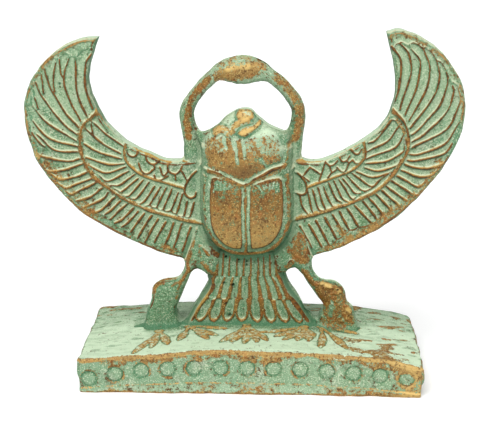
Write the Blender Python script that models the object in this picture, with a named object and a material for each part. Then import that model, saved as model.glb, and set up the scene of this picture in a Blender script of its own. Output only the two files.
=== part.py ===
"""Winged scarab statue: a beetle with two raised wings, cast in one with the plinth it stands on.

Metres, +Z up. The front faces -Y. The origin is on the floor, under the middle of the wings.
Outlines of the figure are in hundredths of the wing span: (across, up), where across is measured
from the middle of the wings and up from the middle of the plinth's top. The two wings are written
as seen, each with across counted outwards.
"""
import math

import bmesh
import bpy
import numpy as np
from mathutils import Vector
from mathutils.geometry import delaunay_2d_cdt

# Driving sizes
WING_SPAN = 0.206
PLINTH_LENGTH = 0.158
PLINTH_DEPTH = 0.068
PLINTH_HEIGHT = 0.0213
PLINTH_END_DROP = 0.0055
PLINTH_SHIFT = 0.0035
PLINTH_CORNER = 0.003
PLINTH_EDGE = 0.0011
STRIP_HEIGHT = 0.0057
STRIP_DROP = 0.0038
STRIP_PROUD = 0.0006
DISC_COUNT = 13
DISC_RADIUS = 0.0036
DISC_DEPTH = 0.0007
TUFT_RISE = 0.0007
WING_FRONT = 0.0035
FIGURE_BACK = 0.0125
WING_EDGE = 0.0012
LEG_EDGE = 0.0012
TAIL_EDGE = 0.0014
BODY_EDGE = 0.0016
BODY_DEPTH = 0.0105
TAIL_FRONT = 0.0022
LEG_FRONT = 0.0010
RING_WIDTH = 0.0058
RING_DEPTH = 0.0086
RIM_RISE = 0.0009
RIM_WIDTH = 0.0030
LEADING_WIDTH = 0.0009
RIB_RISE = 0.0013
RIB_WIDTH = 0.0026
FEATHER_RISE = 0.0009
FEATHER_WIDTH = 0.0013
OUTER_FEATHERS = 29
INNER_FEATHERS = 20
SPIRAL_RADIUS = 0.0036

# What counts as a sliver: a triangle this thin, and an edge short enough to close up
SLIVER = 0.00002
SHORT_EDGE = 0.0002

# The whole figure is drawn in this unit
UNIT = WING_SPAN / 100

# Across, up: the middle line of the beetle lies a little to the right of the wings' middle
BODY_MIDDLE = 1.0

# Each wing: outer edge and inner edge from the tip to the root, the outer rib that the long
# feathers start from, the inner rib that the short ones start from and its line on to the root,
# and the shoulder, a drop-shaped ridge beside the beetle
LEFT_WING = {
    "outer": [(32.4, 67.0), (37.1, 66.5), (43.7, 62.6), (48.8, 55.4), (49.8, 48.5), (47.6, 39.1),
              (42.6, 31.8), (37.2, 26.2), (30.6, 22.1), (21.4, 17.8), (14.8, 15.7), (6.0, 14.2)],
    "inner": [(32.4, 67.0), (34.4, 61.3), (34.9, 56.2), (33.4, 51.4), (30.8, 46.9), (26.8, 43.1),
              (21.0, 40.4), (16.6, 38.8), (6.0, 39.8)],
    "outer_rib": [(32.6, 50.6), (36.3, 47.0), (37.1, 42.7), (35.6, 37.1), (31.5, 33.0),
                  (25.4, 29.0), (16.8, 26.0), (8.4, 24.2)],
    "inner_rib": [(26.5, 42.4), (27.0, 40.0), (24.7, 36.4), (19.6, 34.3), (14.4, 33.0)],
    "root": [(12.9, 30.9), (9.0, 29.0)],
    "shoulder": [(9.6, 37.2), (12.1, 33.2), (11.9, 31.9), (10.6, 31.6), (9.4, 32.4), (9.6, 37.2)],
}
RIGHT_WING = {
    "outer": [(31.9, 68.5), (35.9, 68.8), (43.2, 65.0), (48.8, 57.4), (49.8, 48.5), (46.5, 39.6),
              (41.4, 32.5), (36.3, 26.9), (30.3, 22.6), (23.4, 18.9), (17.2, 16.9), (7.0, 15.2)],
    "inner": [(31.9, 68.5), (33.8, 60.3), (34.2, 54.1), (32.4, 48.9), (28.1, 44.5), (21.7, 40.8),
              (16.3, 39.1), (7.0, 40.3)],
    "outer_rib": [(32.9, 51.9), (36.4, 48.2), (37.5, 43.7), (36.1, 39.4), (31.8, 33.7),
                  (26.4, 30.4), (20.0, 27.9), (10.2, 24.9)],
    "inner_rib": [(27.4, 43.2), (27.7, 41.0), (24.1, 37.1), (18.5, 35.0), (15.6, 33.8)],
    "root": [(14.9, 31.2), (11.0, 29.4)],
    "shoulder": [(11.4, 37.4), (14.0, 33.6), (13.8, 32.3), (12.6, 32.0), (11.4, 32.8), (11.4, 37.4)],
}

# How feather ends are spread: share of the way along the rib, share along the line they run to
OUTER_SPREAD = [(0.03, 0.03), (0.12, 0.14), (0.24, 0.33), (0.38, 0.53), (0.56, 0.66), (1.0, 0.98)]
INNER_SPREAD = [(0.03, 0.07), (0.13, 0.21), (0.25, 0.40), (0.35, 0.52), (0.55, 0.70), (1.0, 0.98)]
OUTER_BOW = 0.34
INNER_BOW = 0.28

# Half outlines about the beetle's middle line
BODY_HALF = [(0.0, 17.2), (3.8, 17.6), (7.2, 19.6), (9.7, 23.2), (10.4, 28.4), (10.3, 35.4),
             (10.0, 39.5), (10.2, 43.0), (9.2, 46.3), (7.4, 47.5), (5.2, 49.3), (3.0, 51.2),
             (1.6, 52.1), (0.0, 52.4)]
TAIL_HALF = [(6.4, 18.5), (8.0, 11.4), (10.7, 6.2), (13.9, -2.0)]

# How far the beetle swells forward at each height, as shares of its depth
SWELL_AT = [17.5, 18.6, 21.0, 26.0, 34.0, 41.0, 46.0, 49.5, 52.2]
SWELL_IS = [0.0, 0.45, 0.74, 0.93, 1.0, 0.97, 0.75, 0.50, 0.15]

# The loop over the head, its middle line from the left root to the right one
RING_LINE = [(-11.0, 36.0), (-11.2, 42.0), (-12.4, 46.8), (-12.6, 50.0), (-11.2, 53.0),
             (-8.0, 56.1), (-3.9, 59.0), (0.5, 59.9), (4.6, 59.2), (8.5, 56.3), (11.3, 52.9),
             (12.6, 49.2), (12.1, 46.0), (11.2, 42.0), (11.2, 37.0)]

# How much wider the loop is at shares of its length
RING_AT = [0.0, 0.09, 0.16, 0.24, 0.78, 0.85, 0.92, 1.0]
RING_IS = [1.75, 1.70, 1.20, 1.0, 1.0, 1.12, 1.50, 1.50]
SUN_PLACE = (-1.0, 59.8)
SUN_HALF = (4.7, 3.1)

# The two feet stand outside the tail; their lower ends are sunk into the plinth
LEFT_FOOT = [(5.4, 17.5), (6.0, 12.2), (8.3, 12.2), (10.4, 13.3), (11.9, 12.6), (12.9, 10.4),
             (14.0, 7.7), (15.2, 4.9), (15.9, 3.0), (15.6, -3.0), (22.9, -3.0), (22.8, 2.5),
             (21.5, 5.8), (21.2, 8.7), (19.2, 10.7), (16.0, 11.2), (14.1, 12.6), (13.4, 15.4),
             (10.2, 19.6)]
RIGHT_FOOT = [(7.0, 18.0), (7.9, 12.9), (10.0, 13.2), (12.1, 13.8), (13.5, 12.6), (15.4, 10.0),
              (17.4, 7.0), (18.9, 4.7), (18.0, 1.5), (18.0, -3.0), (26.2, -3.0), (26.0, 3.9),
              (24.2, 6.0), (23.5, 9.0), (21.4, 10.9), (18.4, 11.3), (16.6, 12.9), (15.9, 15.9),
              (15.2, 19.6), (13.2, 22.6)]
LEFT_SPIRAL = (18.7, 7.2)
RIGHT_SPIRAL = (20.6, 7.6)

# Plinth-top tufts: apex as shares of the half length and the depth, then how far the petals open
TUFTS = [(-0.52, 0.44, -75, 30), (-0.35, 0.48, -20, 75), (0.0, 0.50, -55, 55),
         (0.35, 0.50, -75, 20), (0.46, 0.50, -30, 75)]
PETALS = 5
PETAL_LENGTH = 0.30


def smooth_curve(points, count):
    """Points evenly spaced along the smooth curve through the given ones."""
    p = np.array(points, float)
    p = np.vstack([2 * p[0] - p[1], p, 2 * p[-1] - p[-2]])
    dense = []
    for i in range(1, len(p) - 2):
        a, b, c, d = p[i - 1:i + 3]
        for t in np.linspace(0, 1, 24, endpoint=False):
            dense.append(0.5 * (2 * b + (c - a) * t + (2 * a - 5 * b + 4 * c - d) * t ** 2
                                + (3 * b - a - 3 * c + d) * t ** 3))
    dense.append(p[-2])
    return even_points(np.array(dense), np.linspace(0, 1, count))


def even_points(line, shares):
    """The points that lie at the given shares of a polyline's length."""
    steps = np.linalg.norm(np.diff(line, axis=0), axis=1)
    along = np.concatenate([[0], np.cumsum(steps)])
    along /= along[-1]
    return np.column_stack([np.interp(shares, along, line[:, 0]),
                            np.interp(shares, along, line[:, 1])])


def length_of(line):
    return float(np.linalg.norm(np.diff(line, axis=0), axis=1).sum())


def normals_of(line):
    """Unit normals to the left of the direction of travel."""
    d = np.gradient(line, axis=0)
    d /= np.linalg.norm(d, axis=1)[:, None]
    return np.column_stack([-d[:, 1], d[:, 0]])


def shifted(line, distance):
    """The line moved to its left by a distance, one value or one for each point."""
    return line + normals_of(line) * np.reshape(distance, (-1, 1))


def bend(start, pull, end, count):
    """A curve from start to end that bows towards the pull point."""
    t = np.linspace(0, 1, count)[:, None]
    return (1 - t) ** 2 * start + 2 * (1 - t) * t * pull + t ** 2 * end


class Relief:
    """A slab that faces -Y: a closed outline whose front is shaped by raised lines."""

    def __init__(self, outline, outline_rise):
        self.points = [tuple(p) for p in outline]
        self.rises = list(np.broadcast_to(outline_rise, len(outline)))
        self.count = len(outline)
        self.edges = []

    def line(self, points, rise, closed=False):
        first = len(self.points)
        self.points += [tuple(p) for p in points]
        self.rises += list(np.broadcast_to(rise, len(points)))
        self.edges += [(first + i, first + i + 1) for i in range(len(points) - 1)]
        if closed:
            self.edges.append((len(self.points) - 1, first))

    def ridge(self, points, width, rise, closed=False):
        """A roof-shaped ridge: its crest and a foot on each side."""
        foot = width / 2
        self.line(points, rise, closed)
        self.line(shifted(points, foot), 0.0, closed)
        self.line(shifted(points, -foot), 0.0, closed)

    def rise_beside(self, place):
        """The height of a point where two lines cross, read from those lines."""
        best = 0.0
        for a, b in self.edges:
            pa, pb = np.array(self.points[a]), np.array(self.points[b])
            run = pb - pa
            t = float(np.clip(np.dot(place - pa, run) / max(np.dot(run, run), 1e-12), 0, 1))
            if np.linalg.norm(pa + run * t - place) < 0.01:
                best = max(best, self.rises[a] * (1 - t) + self.rises[b] * t)
        return best

    def solid(self, name, front, back, edge, swell=None):
        """The closed slab, with sides rounded by an edge. Rises are metres, points are units."""
        flat = [Vector(p) for p in self.points]
        found = delaunay_2d_cdt(flat, self.edges, [list(range(self.count))], 1, 0.004)
        spots, faces, sources = found[0], found[2], found[3]
        mesh = bmesh.new()
        front_verts = []
        for spot, source in zip(spots, sources):
            place = np.array(spot)
            rise = max(self.rises[i] for i in source) if source else self.rise_beside(place)
            bulge = swell(place) if swell else 0.0
            front_verts.append(mesh.verts.new((spot.x * UNIT, front - rise - bulge,
                                               PLINTH_HEIGHT + spot.y * UNIT)))
        for face in faces:
            mesh.faces.new([front_verts[i] for i in face])
        rim = boundary_loop(mesh)
        flat_rim = np.array([(v.co.x, v.co.z) for v in rim])
        out = loop_normals(flat_rim) * edge
        rings = [rim]
        for push, y in ((1, None), (1, back - edge), (0, back)):
            ring = []
            for (x, z), o, v in zip(flat_rim, out, rim):
                depth = min(v.co.y + edge, back - 1.2 * edge) if y is None else y
                ring.append(mesh.verts.new((x + o[0] * push, depth, z + o[1] * push)))
            rings.append(ring)
        for ring, following in zip(rings, rings[1:]):
            for i in range(len(ring)):
                j = (i + 1) % len(ring)
                mesh.faces.new([ring[i], ring[j], following[j], following[i]])
        behind = [Vector(p) / UNIT for p in flat_rim]
        for face in delaunay_2d_cdt(behind, [], [list(range(len(behind)))], 1, 1e-5)[2]:
            mesh.faces.new([rings[-1][i] for i in face])
        return finish(name, mesh)


def boundary_loop(mesh):
    """The vertices round a sheet's open edge, in order."""
    after = {}
    for edge in mesh.edges:
        if len(edge.link_faces) == 1:
            loop = edge.link_loops[0]
            after[loop.link_loop_next.vert] = loop.vert
    start = next(iter(after))
    ring = [start]
    while after[ring[-1]] is not start:
        ring.append(after[ring[-1]])
    return ring


def loop_normals(points):
    """Unit normals of a closed loop, pointing away from what it encloses."""
    ahead, behind = np.roll(points, -1, axis=0), np.roll(points, 1, axis=0)
    d = ahead - behind
    d /= np.linalg.norm(d, axis=1)[:, None]
    turn = np.sum(points[:, 0] * ahead[:, 1] - ahead[:, 0] * points[:, 1])
    side = 1.0 if turn > 0 else -1.0
    return np.column_stack([d[:, 1], -d[:, 0]]) * side


def drawn_in(outline, edge):
    """A closed outline in units moved inwards by an edge in metres."""
    return outline - loop_normals(outline) * edge / UNIT


def finish(name, mesh, smooth=True):
    """Close a mesh up, turn its faces outwards and put it into the scene."""
    bmesh.ops.triangulate(mesh, faces=mesh.faces[:])
    bmesh.ops.recalc_face_normals(mesh, faces=mesh.faces[:])
    data = bpy.data.meshes.new(name)
    mesh.to_mesh(data)
    mesh.free()
    if smooth:
        data.shade_smooth()
        data.set_sharp_from_angle(angle=math.radians(25))
    piece = bpy.data.objects.new(name, data)
    bpy.context.collection.objects.link(piece)
    return piece


def wing(name, sheet, side):
    """One wing, drawn outwards and mirrored to its side (-1 left, 1 right)."""
    outer = smooth_curve(sheet["outer"], 38)
    inner = smooth_curve(sheet["inner"], 24)
    turn = np.array([side, 1.0])
    edge = WING_EDGE / UNIT
    rim = RIM_WIDTH / UNIT
    foot = FEATHER_WIDTH / UNIT / 2
    outline = np.vstack([shifted(outer, -edge)[1:], shifted(inner, edge)[:0:-1]])
    outline = np.vstack([tip_inside(outer, inner, edge), outline])
    rises = [RIM_RISE] * len(outer) + [0.0] * (len(inner) - 1)
    relief = Relief(outline * turn, rises)

    leading = shifted(inner, edge + LEADING_WIDTH / UNIT)[2:-1]
    relief.ridge(leading * turn, FEATHER_WIDTH / UNIT, FEATHER_RISE)
    relief.line(shifted(outer, -edge - rim * 0.5)[1:-1] * turn, RIM_RISE)

    outer_rib = smooth_curve(sheet["outer_rib"], 40)
    rib_half = RIB_WIDTH / UNIT / 2
    relief.line(even_points(outer_rib, np.linspace(0, 1, 22)) * turn, RIB_RISE)
    starts = np.linspace(0.03, 0.98, OUTER_FEATHERS)
    fan(relief, turn, shifted(outer_rib, rib_half), starts, shifted(outer, -edge - rim)[1:-1],
        np.interp(starts, *zip(*OUTER_SPREAD)), OUTER_BOW, foot)

    inner_rib = smooth_curve(sheet["inner_rib"], 24)
    relief.ridge(inner_rib * turn, RIB_WIDTH * 0.7 / UNIT, RIB_RISE)
    below = np.vstack([shifted(inner_rib, RIB_WIDTH * 0.55 / UNIT), sheet["root"]])
    starts = np.linspace(0.03, 0.97, INNER_FEATHERS)
    fan(relief, turn, below, starts, shifted(outer_rib, -rib_half),
        np.interp(starts, *zip(*INNER_SPREAD)), INNER_BOW, foot)
    scales(relief, turn, inner)
    shoulder = smooth_curve(sheet["shoulder"], 12)[:-1]
    relief.ridge(shoulder * turn, FEATHER_WIDTH * 0.8 / UNIT, FEATHER_RISE, closed=True)
    return relief.solid(name, WING_FRONT, FIGURE_BACK, WING_EDGE)


def tip_inside(outer, inner, edge):
    """The tip's corner, drawn in by the edge along the line that halves it."""
    along = (outer[1] - outer[0]) / np.linalg.norm(outer[1] - outer[0])
    down = (inner[1] - inner[0]) / np.linalg.norm(inner[1] - inner[0])
    return [outer[0] + (along + down) * edge]


def fan(relief, turn, start_line, start_shares, end_line, end_shares, bow, foot):
    """Feather ridges from one line to another, with both lines stepped over the ridge ends."""
    starts = stepped(relief, turn, start_line, start_shares, foot)
    ends = stepped(relief, turn, end_line, end_shares, foot)
    for k in range(len(start_shares)):
        s, e = starts[3 * k:3 * k + 3], ends[3 * k:3 * k + 3]
        gap = np.linalg.norm(e[1] - s[1])
        pull = s[1] + square_to(s[2] - s[0], e[1] - s[1]) * gap * bow
        crest = bend(s[1], pull, e[1], max(3, round(gap / 2.6) + 1))
        relief.line(crest * turn, FEATHER_RISE)
        for edge in (foot, -foot):
            side = shifted(crest, edge)
            side[0], side[-1] = nearer(side[0], s[0], s[2]), nearer(side[-1], e[0], e[2])
            relief.line(side * turn, 0.0)


def nearer(place, a, b):
    return a if np.linalg.norm(place - a) < np.linalg.norm(place - b) else b


def square_to(along, towards):
    """The unit vector square to one direction, on the side of another."""
    n = np.array([-along[1], along[0]]) / np.linalg.norm(along)
    return n if np.dot(n, towards) > 0 else -n


def stepped(relief, turn, line, shares, foot):
    """A foot line that rises to each ridge's crest: a foot, the crest and a foot for each."""
    step = foot / length_of(line)
    spots = even_points(line, np.ravel([[s - step, s, s + step] for s in shares]))
    relief.line(spots * turn, [0.0, FEATHER_RISE, 0.0] * len(shares))
    return spots


def scales(relief, turn, inner):
    """Two rows of U-shaped scales below the root of the leading edge."""
    root = inner[15:]
    for row, stations in ((1.9, (0.10, 0.36, 0.62)), (3.9, (0.24, 0.50))):
        line = shifted(root, row)
        for place in even_points(line, stations):
            angles = np.radians(np.linspace(200, 340, 5))
            arc = place + 1.15 * np.column_stack([np.cos(angles), np.sin(angles)])
            relief.ridge(arc * turn, FEATHER_WIDTH * 0.8 / UNIT, FEATHER_RISE)


def body_width(up):
    """The beetle's half width at a height."""
    heights = [p[1] for p in BODY_HALF]
    return float(np.interp(up, heights, [p[0] for p in BODY_HALF]))


def body_swell(place):
    """How far the beetle stands forward at a point."""
    up = float(np.interp(place[1], SWELL_AT, SWELL_IS))
    across = min(1.0, abs(place[0] - BODY_MIDDLE) / max(body_width(place[1]), 1.5))
    return BODY_DEPTH * up * (1 - across ** 2.6) ** 0.5


def mirrored_loop(half, count):
    """A closed outline from its right half, bottom to top."""
    right = smooth_curve(half, count)
    left = right[::-1] * (-1, 1)
    left = left[np.abs(left[:, 0]) > 0.01]
    return np.vstack([right, left]) + (BODY_MIDDLE, 0)


def wing_case(side):
    """The outline of one wing case's panel, about the middle line."""
    points = [(0.9, 35.6), (0.7, 33.0), (0.7, 26.0), (0.8, 20.5), (1.8, 19.6), (4.2, 20.0),
              (6.6, 21.9), (8.1, 25.0), (8.6, 29.0), (8.5, 34.0), (8.2, 36.6), (6.6, 37.0),
              (3.2, 36.4), (0.9, 35.6)]
    return smooth_curve(points, 22)[:-1] * (side, 1) + (BODY_MIDDLE, 0)


def beetle():
    """Wing cases, breast plate and head, as one swelling relief."""
    relief = Relief(drawn_in(mirrored_loop(BODY_HALF, 22), BODY_EDGE), 0.0)
    for side in (-1, 1):
        panel = wing_case(side)
        middle = panel.mean(axis=0)
        relief.line(panel, 0.0005, closed=True)
        relief.line(middle + (panel - middle) * 1.10, -0.0006, closed=True)
    relief.ridge(np.array([(BODY_MIDDLE, z) for z in np.linspace(19.2, 34.8, 7)]), 0.55, 0.0004)
    vee = [(-9.0, 38.2), (-6.5, 37.7), (-3.1, 36.5), (-0.3, 35.5), (2.4, 36.9), (5.5, 38.6),
           (8.9, 39.5)]
    relief.ridge(smooth_curve(vee, 13) + (BODY_MIDDLE, 0), 1.1, 0.0009)
    for brow in (((-8.4, 44.9), (-7.6, 46.2), (-6.2, 46.8), (-5.0, 46.4)),
                 ((3.8, 47.2), (5.4, 47.0), (7.2, 46.0), (8.2, 44.4))):
        relief.ridge(smooth_curve(brow, 6) + (BODY_MIDDLE, 0), 0.9, 0.0010)
    leaf = [(-4.6, 46.2), (-1.4, 48.8), (0.7, 49.6), (3.1, 49.5), (3.3, 48.3), (2.1, 46.9),
            (-1.0, 45.4), (-2.6, 45.4), (-4.6, 46.2)]
    leaf = smooth_curve(leaf, 15)[:-1] + (BODY_MIDDLE, 0)
    relief.line(leaf, 0.0, closed=True)
    relief.line(leaf.mean(axis=0) + (leaf - leaf.mean(axis=0)) * 0.72, 0.0015, closed=True)
    for up in np.arange(21.0, 45.0, 2.6):
        reach = body_width(up)
        for share in (-0.93, -0.72, -0.48, -0.24, 0.24, 0.48, 0.72, 0.93):
            relief.line([(BODY_MIDDLE + share * reach, up)], 0.0)
    return relief.solid("beetle", WING_FRONT - 0.004, FIGURE_BACK + 0.0010, BODY_EDGE, body_swell)


def ring():
    """The loop over the head: a flattened tube with its two ends sunk in the wing roots."""
    line = smooth_curve(RING_LINE, 28)
    side = normals_of(line)
    middle = FIGURE_BACK - RING_DEPTH / 2 - 0.0004
    mesh = bmesh.new()
    widths = RING_WIDTH / 2 * 1.08 * np.interp(np.linspace(0, 1, len(line)), RING_AT, RING_IS)
    rings = []
    for place, n, width in zip(line, side, widths):
        around = []
        for k in range(8):
            turn = math.tau * (k + 0.5) / 8
            x, z = place * UNIT + n * width * math.cos(turn)
            y = middle + RING_DEPTH / 2 * 1.08 * math.sin(turn)
            around.append(mesh.verts.new((x, y, PLINTH_HEIGHT + z)))
        rings.append(around)
    for a, b in zip(rings, rings[1:]):
        for k in range(8):
            mesh.faces.new([a[k], a[(k + 1) % 8], b[(k + 1) % 8], b[k]])
    mesh.faces.new(rings[0])
    mesh.faces.new(rings[-1])
    return finish("ring", mesh)


def sun():
    """The oval knob at the top of the loop."""
    mesh = bmesh.new()
    bmesh.ops.create_uvsphere(mesh, u_segments=14, v_segments=8, radius=1.0)
    for v in mesh.verts:
        x, z, y = v.co.x * SUN_HALF[0] * UNIT, v.co.y * SUN_HALF[1] * UNIT, v.co.z
        v.co = (SUN_PLACE[0] * UNIT + x, FIGURE_BACK - RING_DEPTH * 0.55 + y * RING_DEPTH * 0.62,
                PLINTH_HEIGHT + SUN_PLACE[1] * UNIT + z)
    return finish("sun", mesh)


def tail_width(up):
    """The tail's half width at a height."""
    heights = [p[1] for p in TAIL_HALF[::-1]]
    return float(np.interp(up, heights, [p[0] for p in TAIL_HALF[::-1]]))


def tail():
    """The fan of the tail: three tiers of feathers with round ends."""
    relief = Relief(drawn_in(mirrored_loop(TAIL_HALF[::-1], 12), TAIL_EDGE), 0.0)
    for top, bottom, cells in ((17.0, 12.4, 8), (11.6, 7.0, 8), (6.2, 1.6, 8)):
        shares = np.linspace(-0.90, 0.90, cells + 1)
        for share in shares:
            upper = (BODY_MIDDLE + share * tail_width(top), top)
            lower = (BODY_MIDDLE + share * tail_width(bottom), bottom)
            relief.ridge(np.array([upper, lower]), FEATHER_WIDTH / UNIT, FEATHER_RISE)
        for left, right in zip(shares, shares[1:]):
            ends = np.array([left, (left + right) / 2, right]) * tail_width(bottom) + BODY_MIDDLE
            cup = np.column_stack([ends, [bottom - 0.15, bottom - 0.75, bottom - 0.15]])
            cup[0, 0] += 0.12
            cup[2, 0] -= 0.12
            relief.line(cup, [FEATHER_RISE, FEATHER_RISE, FEATHER_RISE])
    return relief.solid("tail", TAIL_FRONT, FIGURE_BACK + 0.0016, TAIL_EDGE)


def foot(name, outline, spiral, side):
    """One foreleg and its foot, with the raised spiral on the foot."""
    turn = np.array([side, 1.0])
    relief = Relief(drawn_in(smooth_curve(outline, 30), LEG_EDGE) * turn, 0.0)
    for share, rise in ((1.0, 0.0), (0.78, 0.0010), (0.48, 0.0010), (0.30, 0.0002)):
        angles = np.linspace(0, math.tau, 12, endpoint=False)
        radius = SPIRAL_RADIUS / UNIT * share
        circle = np.column_stack([np.cos(angles), np.sin(angles)]) * radius + spiral
        relief.line(circle * turn, rise, closed=True)
    return relief.solid(name, LEG_FRONT, FIGURE_BACK + 0.0004, LEG_EDGE)


def plinth_top(x):
    """The height of the plinth's crowned top at a place along it."""
    share = (x - PLINTH_SHIFT) / (PLINTH_LENGTH / 2)
    return PLINTH_HEIGHT - PLINTH_END_DROP * share ** 2


def strip_top(x):
    """The height of the arched strip along the foot of the plinth's front."""
    share = (x - PLINTH_SHIFT) / (PLINTH_LENGTH / 2)
    return STRIP_HEIGHT - STRIP_DROP * share ** 2


def plinth():
    """The plinth: sections from end to end, with rounded corners and a crowned top."""
    half = PLINTH_LENGTH / 2
    inset = [0.0, 0.12, 0.4, 1.0]
    ends = [-half + PLINTH_CORNER * s for s in inset]
    middle = np.linspace(-half + PLINTH_CORNER, half - PLINTH_CORNER, 13)[1:-1]
    stations = [*ends, *middle, *[-x for x in reversed(ends)]]
    mesh = bmesh.new()
    rings = []
    for x in stations:
        short = max(0.0, PLINTH_CORNER - (half - abs(x))) / PLINTH_CORNER
        deep = PLINTH_DEPTH / 2 - PLINTH_CORNER * (1 - math.sqrt(1 - 0.92 * short ** 2))
        top = plinth_top(x + PLINTH_SHIFT)
        strip = strip_top(x + PLINTH_SHIFT)
        proud = deep + STRIP_PROUD
        profile = [(-deep + PLINTH_EDGE, top), (-deep, top - PLINTH_EDGE),
                   (-deep, strip + PLINTH_EDGE), (-proud, strip), (-proud, PLINTH_EDGE),
                   (PLINTH_EDGE - proud, 0.0), (deep, 0.0), (deep, top - PLINTH_EDGE),
                   (deep - PLINTH_EDGE, top)]
        draw_in = 0.012 * math.copysign(1, x) if abs(x) > half - PLINTH_CORNER else 0.0
        rings.append([mesh.verts.new((x + PLINTH_SHIFT - draw_in * (top - z), y, z))
                      for y, z in profile])
    for a, b in zip(rings, rings[1:]):
        for k in range(len(a)):
            following = (k + 1) % len(a)
            mesh.faces.new([a[k], a[following], b[following], b[k]])
    mesh.faces.new(rings[0])
    mesh.faces.new(rings[-1])
    return finish("winged_scarab_statue", mesh, smooth=False)


def discs():
    """Cutters for the row of shallow round hollows along the plinth's front."""
    reach = PLINTH_LENGTH / 2 - 1.6 * DISC_RADIUS
    found = []
    for x in np.linspace(-reach, reach, DISC_COUNT):
        place = x + PLINTH_SHIFT
        mesh = bmesh.new()
        bmesh.ops.create_cone(mesh, segments=10, radius1=DISC_RADIUS, radius2=DISC_RADIUS * 0.86,
                              depth=DISC_DEPTH * 2, cap_ends=True)
        low, high = strip_top(place), plinth_top(place)
        for v in mesh.verts:
            flat = Vector((v.co.x, v.co.z, v.co.y))
            v.co = flat + Vector((place, -PLINTH_DEPTH / 2, low + (high - low) * 0.48))
        found.append(finish("disc", mesh, smooth=False))
    return found


def tuft(across, back, first, last):
    """A fan of low pointed petals that lies on the plinth's top and opens to the front."""
    x, y = PLINTH_SHIFT + across * PLINTH_LENGTH / 2, PLINTH_DEPTH * (back - 0.5)
    headings = np.linspace(first, last, PETALS)
    step = (last - first) / (PETALS - 1)

    def spot(heading, reach):
        turn = math.radians(heading)
        length = PLINTH_DEPTH * PETAL_LENGTH * (1 - 0.15 * math.cos(turn)) * reach
        return x + math.sin(turn) * length, y - math.cos(turn) * length

    rim = [(x, y + PLINTH_DEPTH * 0.02), spot(first - step, 0.20)]
    for heading in headings:
        rim += [spot(heading - step * 0.30, 0.62), spot(heading, 1.0),
                spot(heading + step * 0.30, 0.62), spot(heading + step * 0.5, 0.30)]
    mesh = bmesh.new()

    def level(points, rise):
        return [mesh.verts.new((px, py, plinth_top(px) + rise)) for px, py in points]

    low, high = level(rim, -TUFT_RISE), level(rim, TUFT_RISE * 0.2)
    spines = level([spot(heading, 0.62) for heading in headings], TUFT_RISE)
    apex = level([(x, y)], TUFT_RISE)[0]
    mesh.faces.new(low)
    for k in range(len(rim)):
        following = (k + 1) % len(rim)
        mesh.faces.new([low[k], low[following], high[following], high[k]])
    mesh.faces.new([high[0], high[1], apex])
    mesh.faces.new([high[-1], high[0], apex])
    for k, spine in enumerate(spines):
        valley, left, tip, right, following = high[4 * k + 1:4 * k + 6]
        for corners in ((valley, left, apex), (left, spine, apex), (left, tip, spine),
                        (tip, right, spine), (right, apex, spine), (right, following, apex)):
            mesh.faces.new(corners)
    return finish("tuft", mesh, smooth=False)


def joined(base, pieces, operation):
    """Cut or join pieces into a base with one Boolean for each."""
    for piece in pieces:
        step = base.modifiers.new(piece.name, "BOOLEAN")
        step.operation = operation
        step.solver = "EXACT"
        step.object = piece
        piece.hide_render = True
        piece.display_type = "WIRE"


def settled(piece):
    """Apply the Booleans, then take out the slivers they leave, which a solid can't hold."""
    mesh = bmesh.new()
    mesh.from_mesh(piece.evaluated_get(bpy.context.evaluated_depsgraph_get()).to_mesh())
    bmesh.ops.triangulate(mesh, faces=mesh.faces[:])
    for attempt in range(12):
        flat = [f for f in mesh.faces if thickness(f) < SLIVER]
        if not flat:
            break
        for face in flat:
            if face.is_valid and thickness(face) < SLIVER:
                mend(mesh, face)
    bmesh.ops.recalc_face_normals(mesh, faces=mesh.faces[:])
    piece.modifiers.clear()
    mesh.to_mesh(piece.data)
    mesh.free()
    return piece


def thickness(face):
    """A triangle's least height."""
    return 2 * face.calc_area() / max(edge.calc_length() for edge in face.edges)


def mend(mesh, face):
    """Close a thin triangle's shortest edge up, or else turn its longest edge."""
    edges = sorted(face.edges, key=lambda edge: edge.calc_length())
    a, b = edges[0].verts
    shared = {e.other_vert(a) for e in a.link_edges} & {e.other_vert(b) for e in b.link_edges}
    if edges[0].calc_length() < SHORT_EDGE and len(shared) == 2:
        bmesh.ops.pointmerge(mesh, verts=[a, b], merge_co=a.co.copy())
        return
    longest = edges[-1]
    corners = [next(v for v in f.verts if v not in longest.verts) for f in longest.link_faces]
    if len(corners) == 2 and mesh.edges.get(corners) is None:
        bmesh.ops.rotate_edges(mesh, edges=[longest], use_ccw=True)


def patina():
    """Pale verdigris over copper brown."""
    made = bpy.data.materials.new("verdigris_casting")
    made.use_nodes = True
    shader = made.node_tree.nodes["Principled BSDF"]
    shader.inputs["Base Color"].default_value = (0.30, 0.50, 0.37, 1.0)
    shader.inputs["Roughness"].default_value = 0.62
    shader.inputs["Metallic"].default_value = 0.0
    return made


def main():
    for old in list(bpy.data.objects):
        bpy.data.objects.remove(old)
    statue = plinth()
    joined(statue, discs(), "DIFFERENCE")
    joined(statue, [tuft(*place) for place in TUFTS], "UNION")
    joined(statue, [
        tail(), foot("left_foot", LEFT_FOOT, LEFT_SPIRAL, -1),
        foot("right_foot", RIGHT_FOOT, RIGHT_SPIRAL, 1),
        wing("left_wing", LEFT_WING, -1), wing("right_wing", RIGHT_WING, 1),
        beetle(), ring(), sun()], "UNION")
    settled(statue)
    statue.data.materials.append(patina())


main()
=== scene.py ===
"""Looks of the winged scarab statue: one casting, brown bronze under a pale green patina.

Shapes are drawn in millimetres of the statue, x across and z up from the floor, as heights that
stand forward of the middle plane, towards -Y. The size comes from the part's box in model.glb.
Outlines are in hundredths of the wing span: (across, up), up from the middle of the plinth's top.
The two wings are written as seen, each with across counted outwards.
"""
import math

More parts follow.
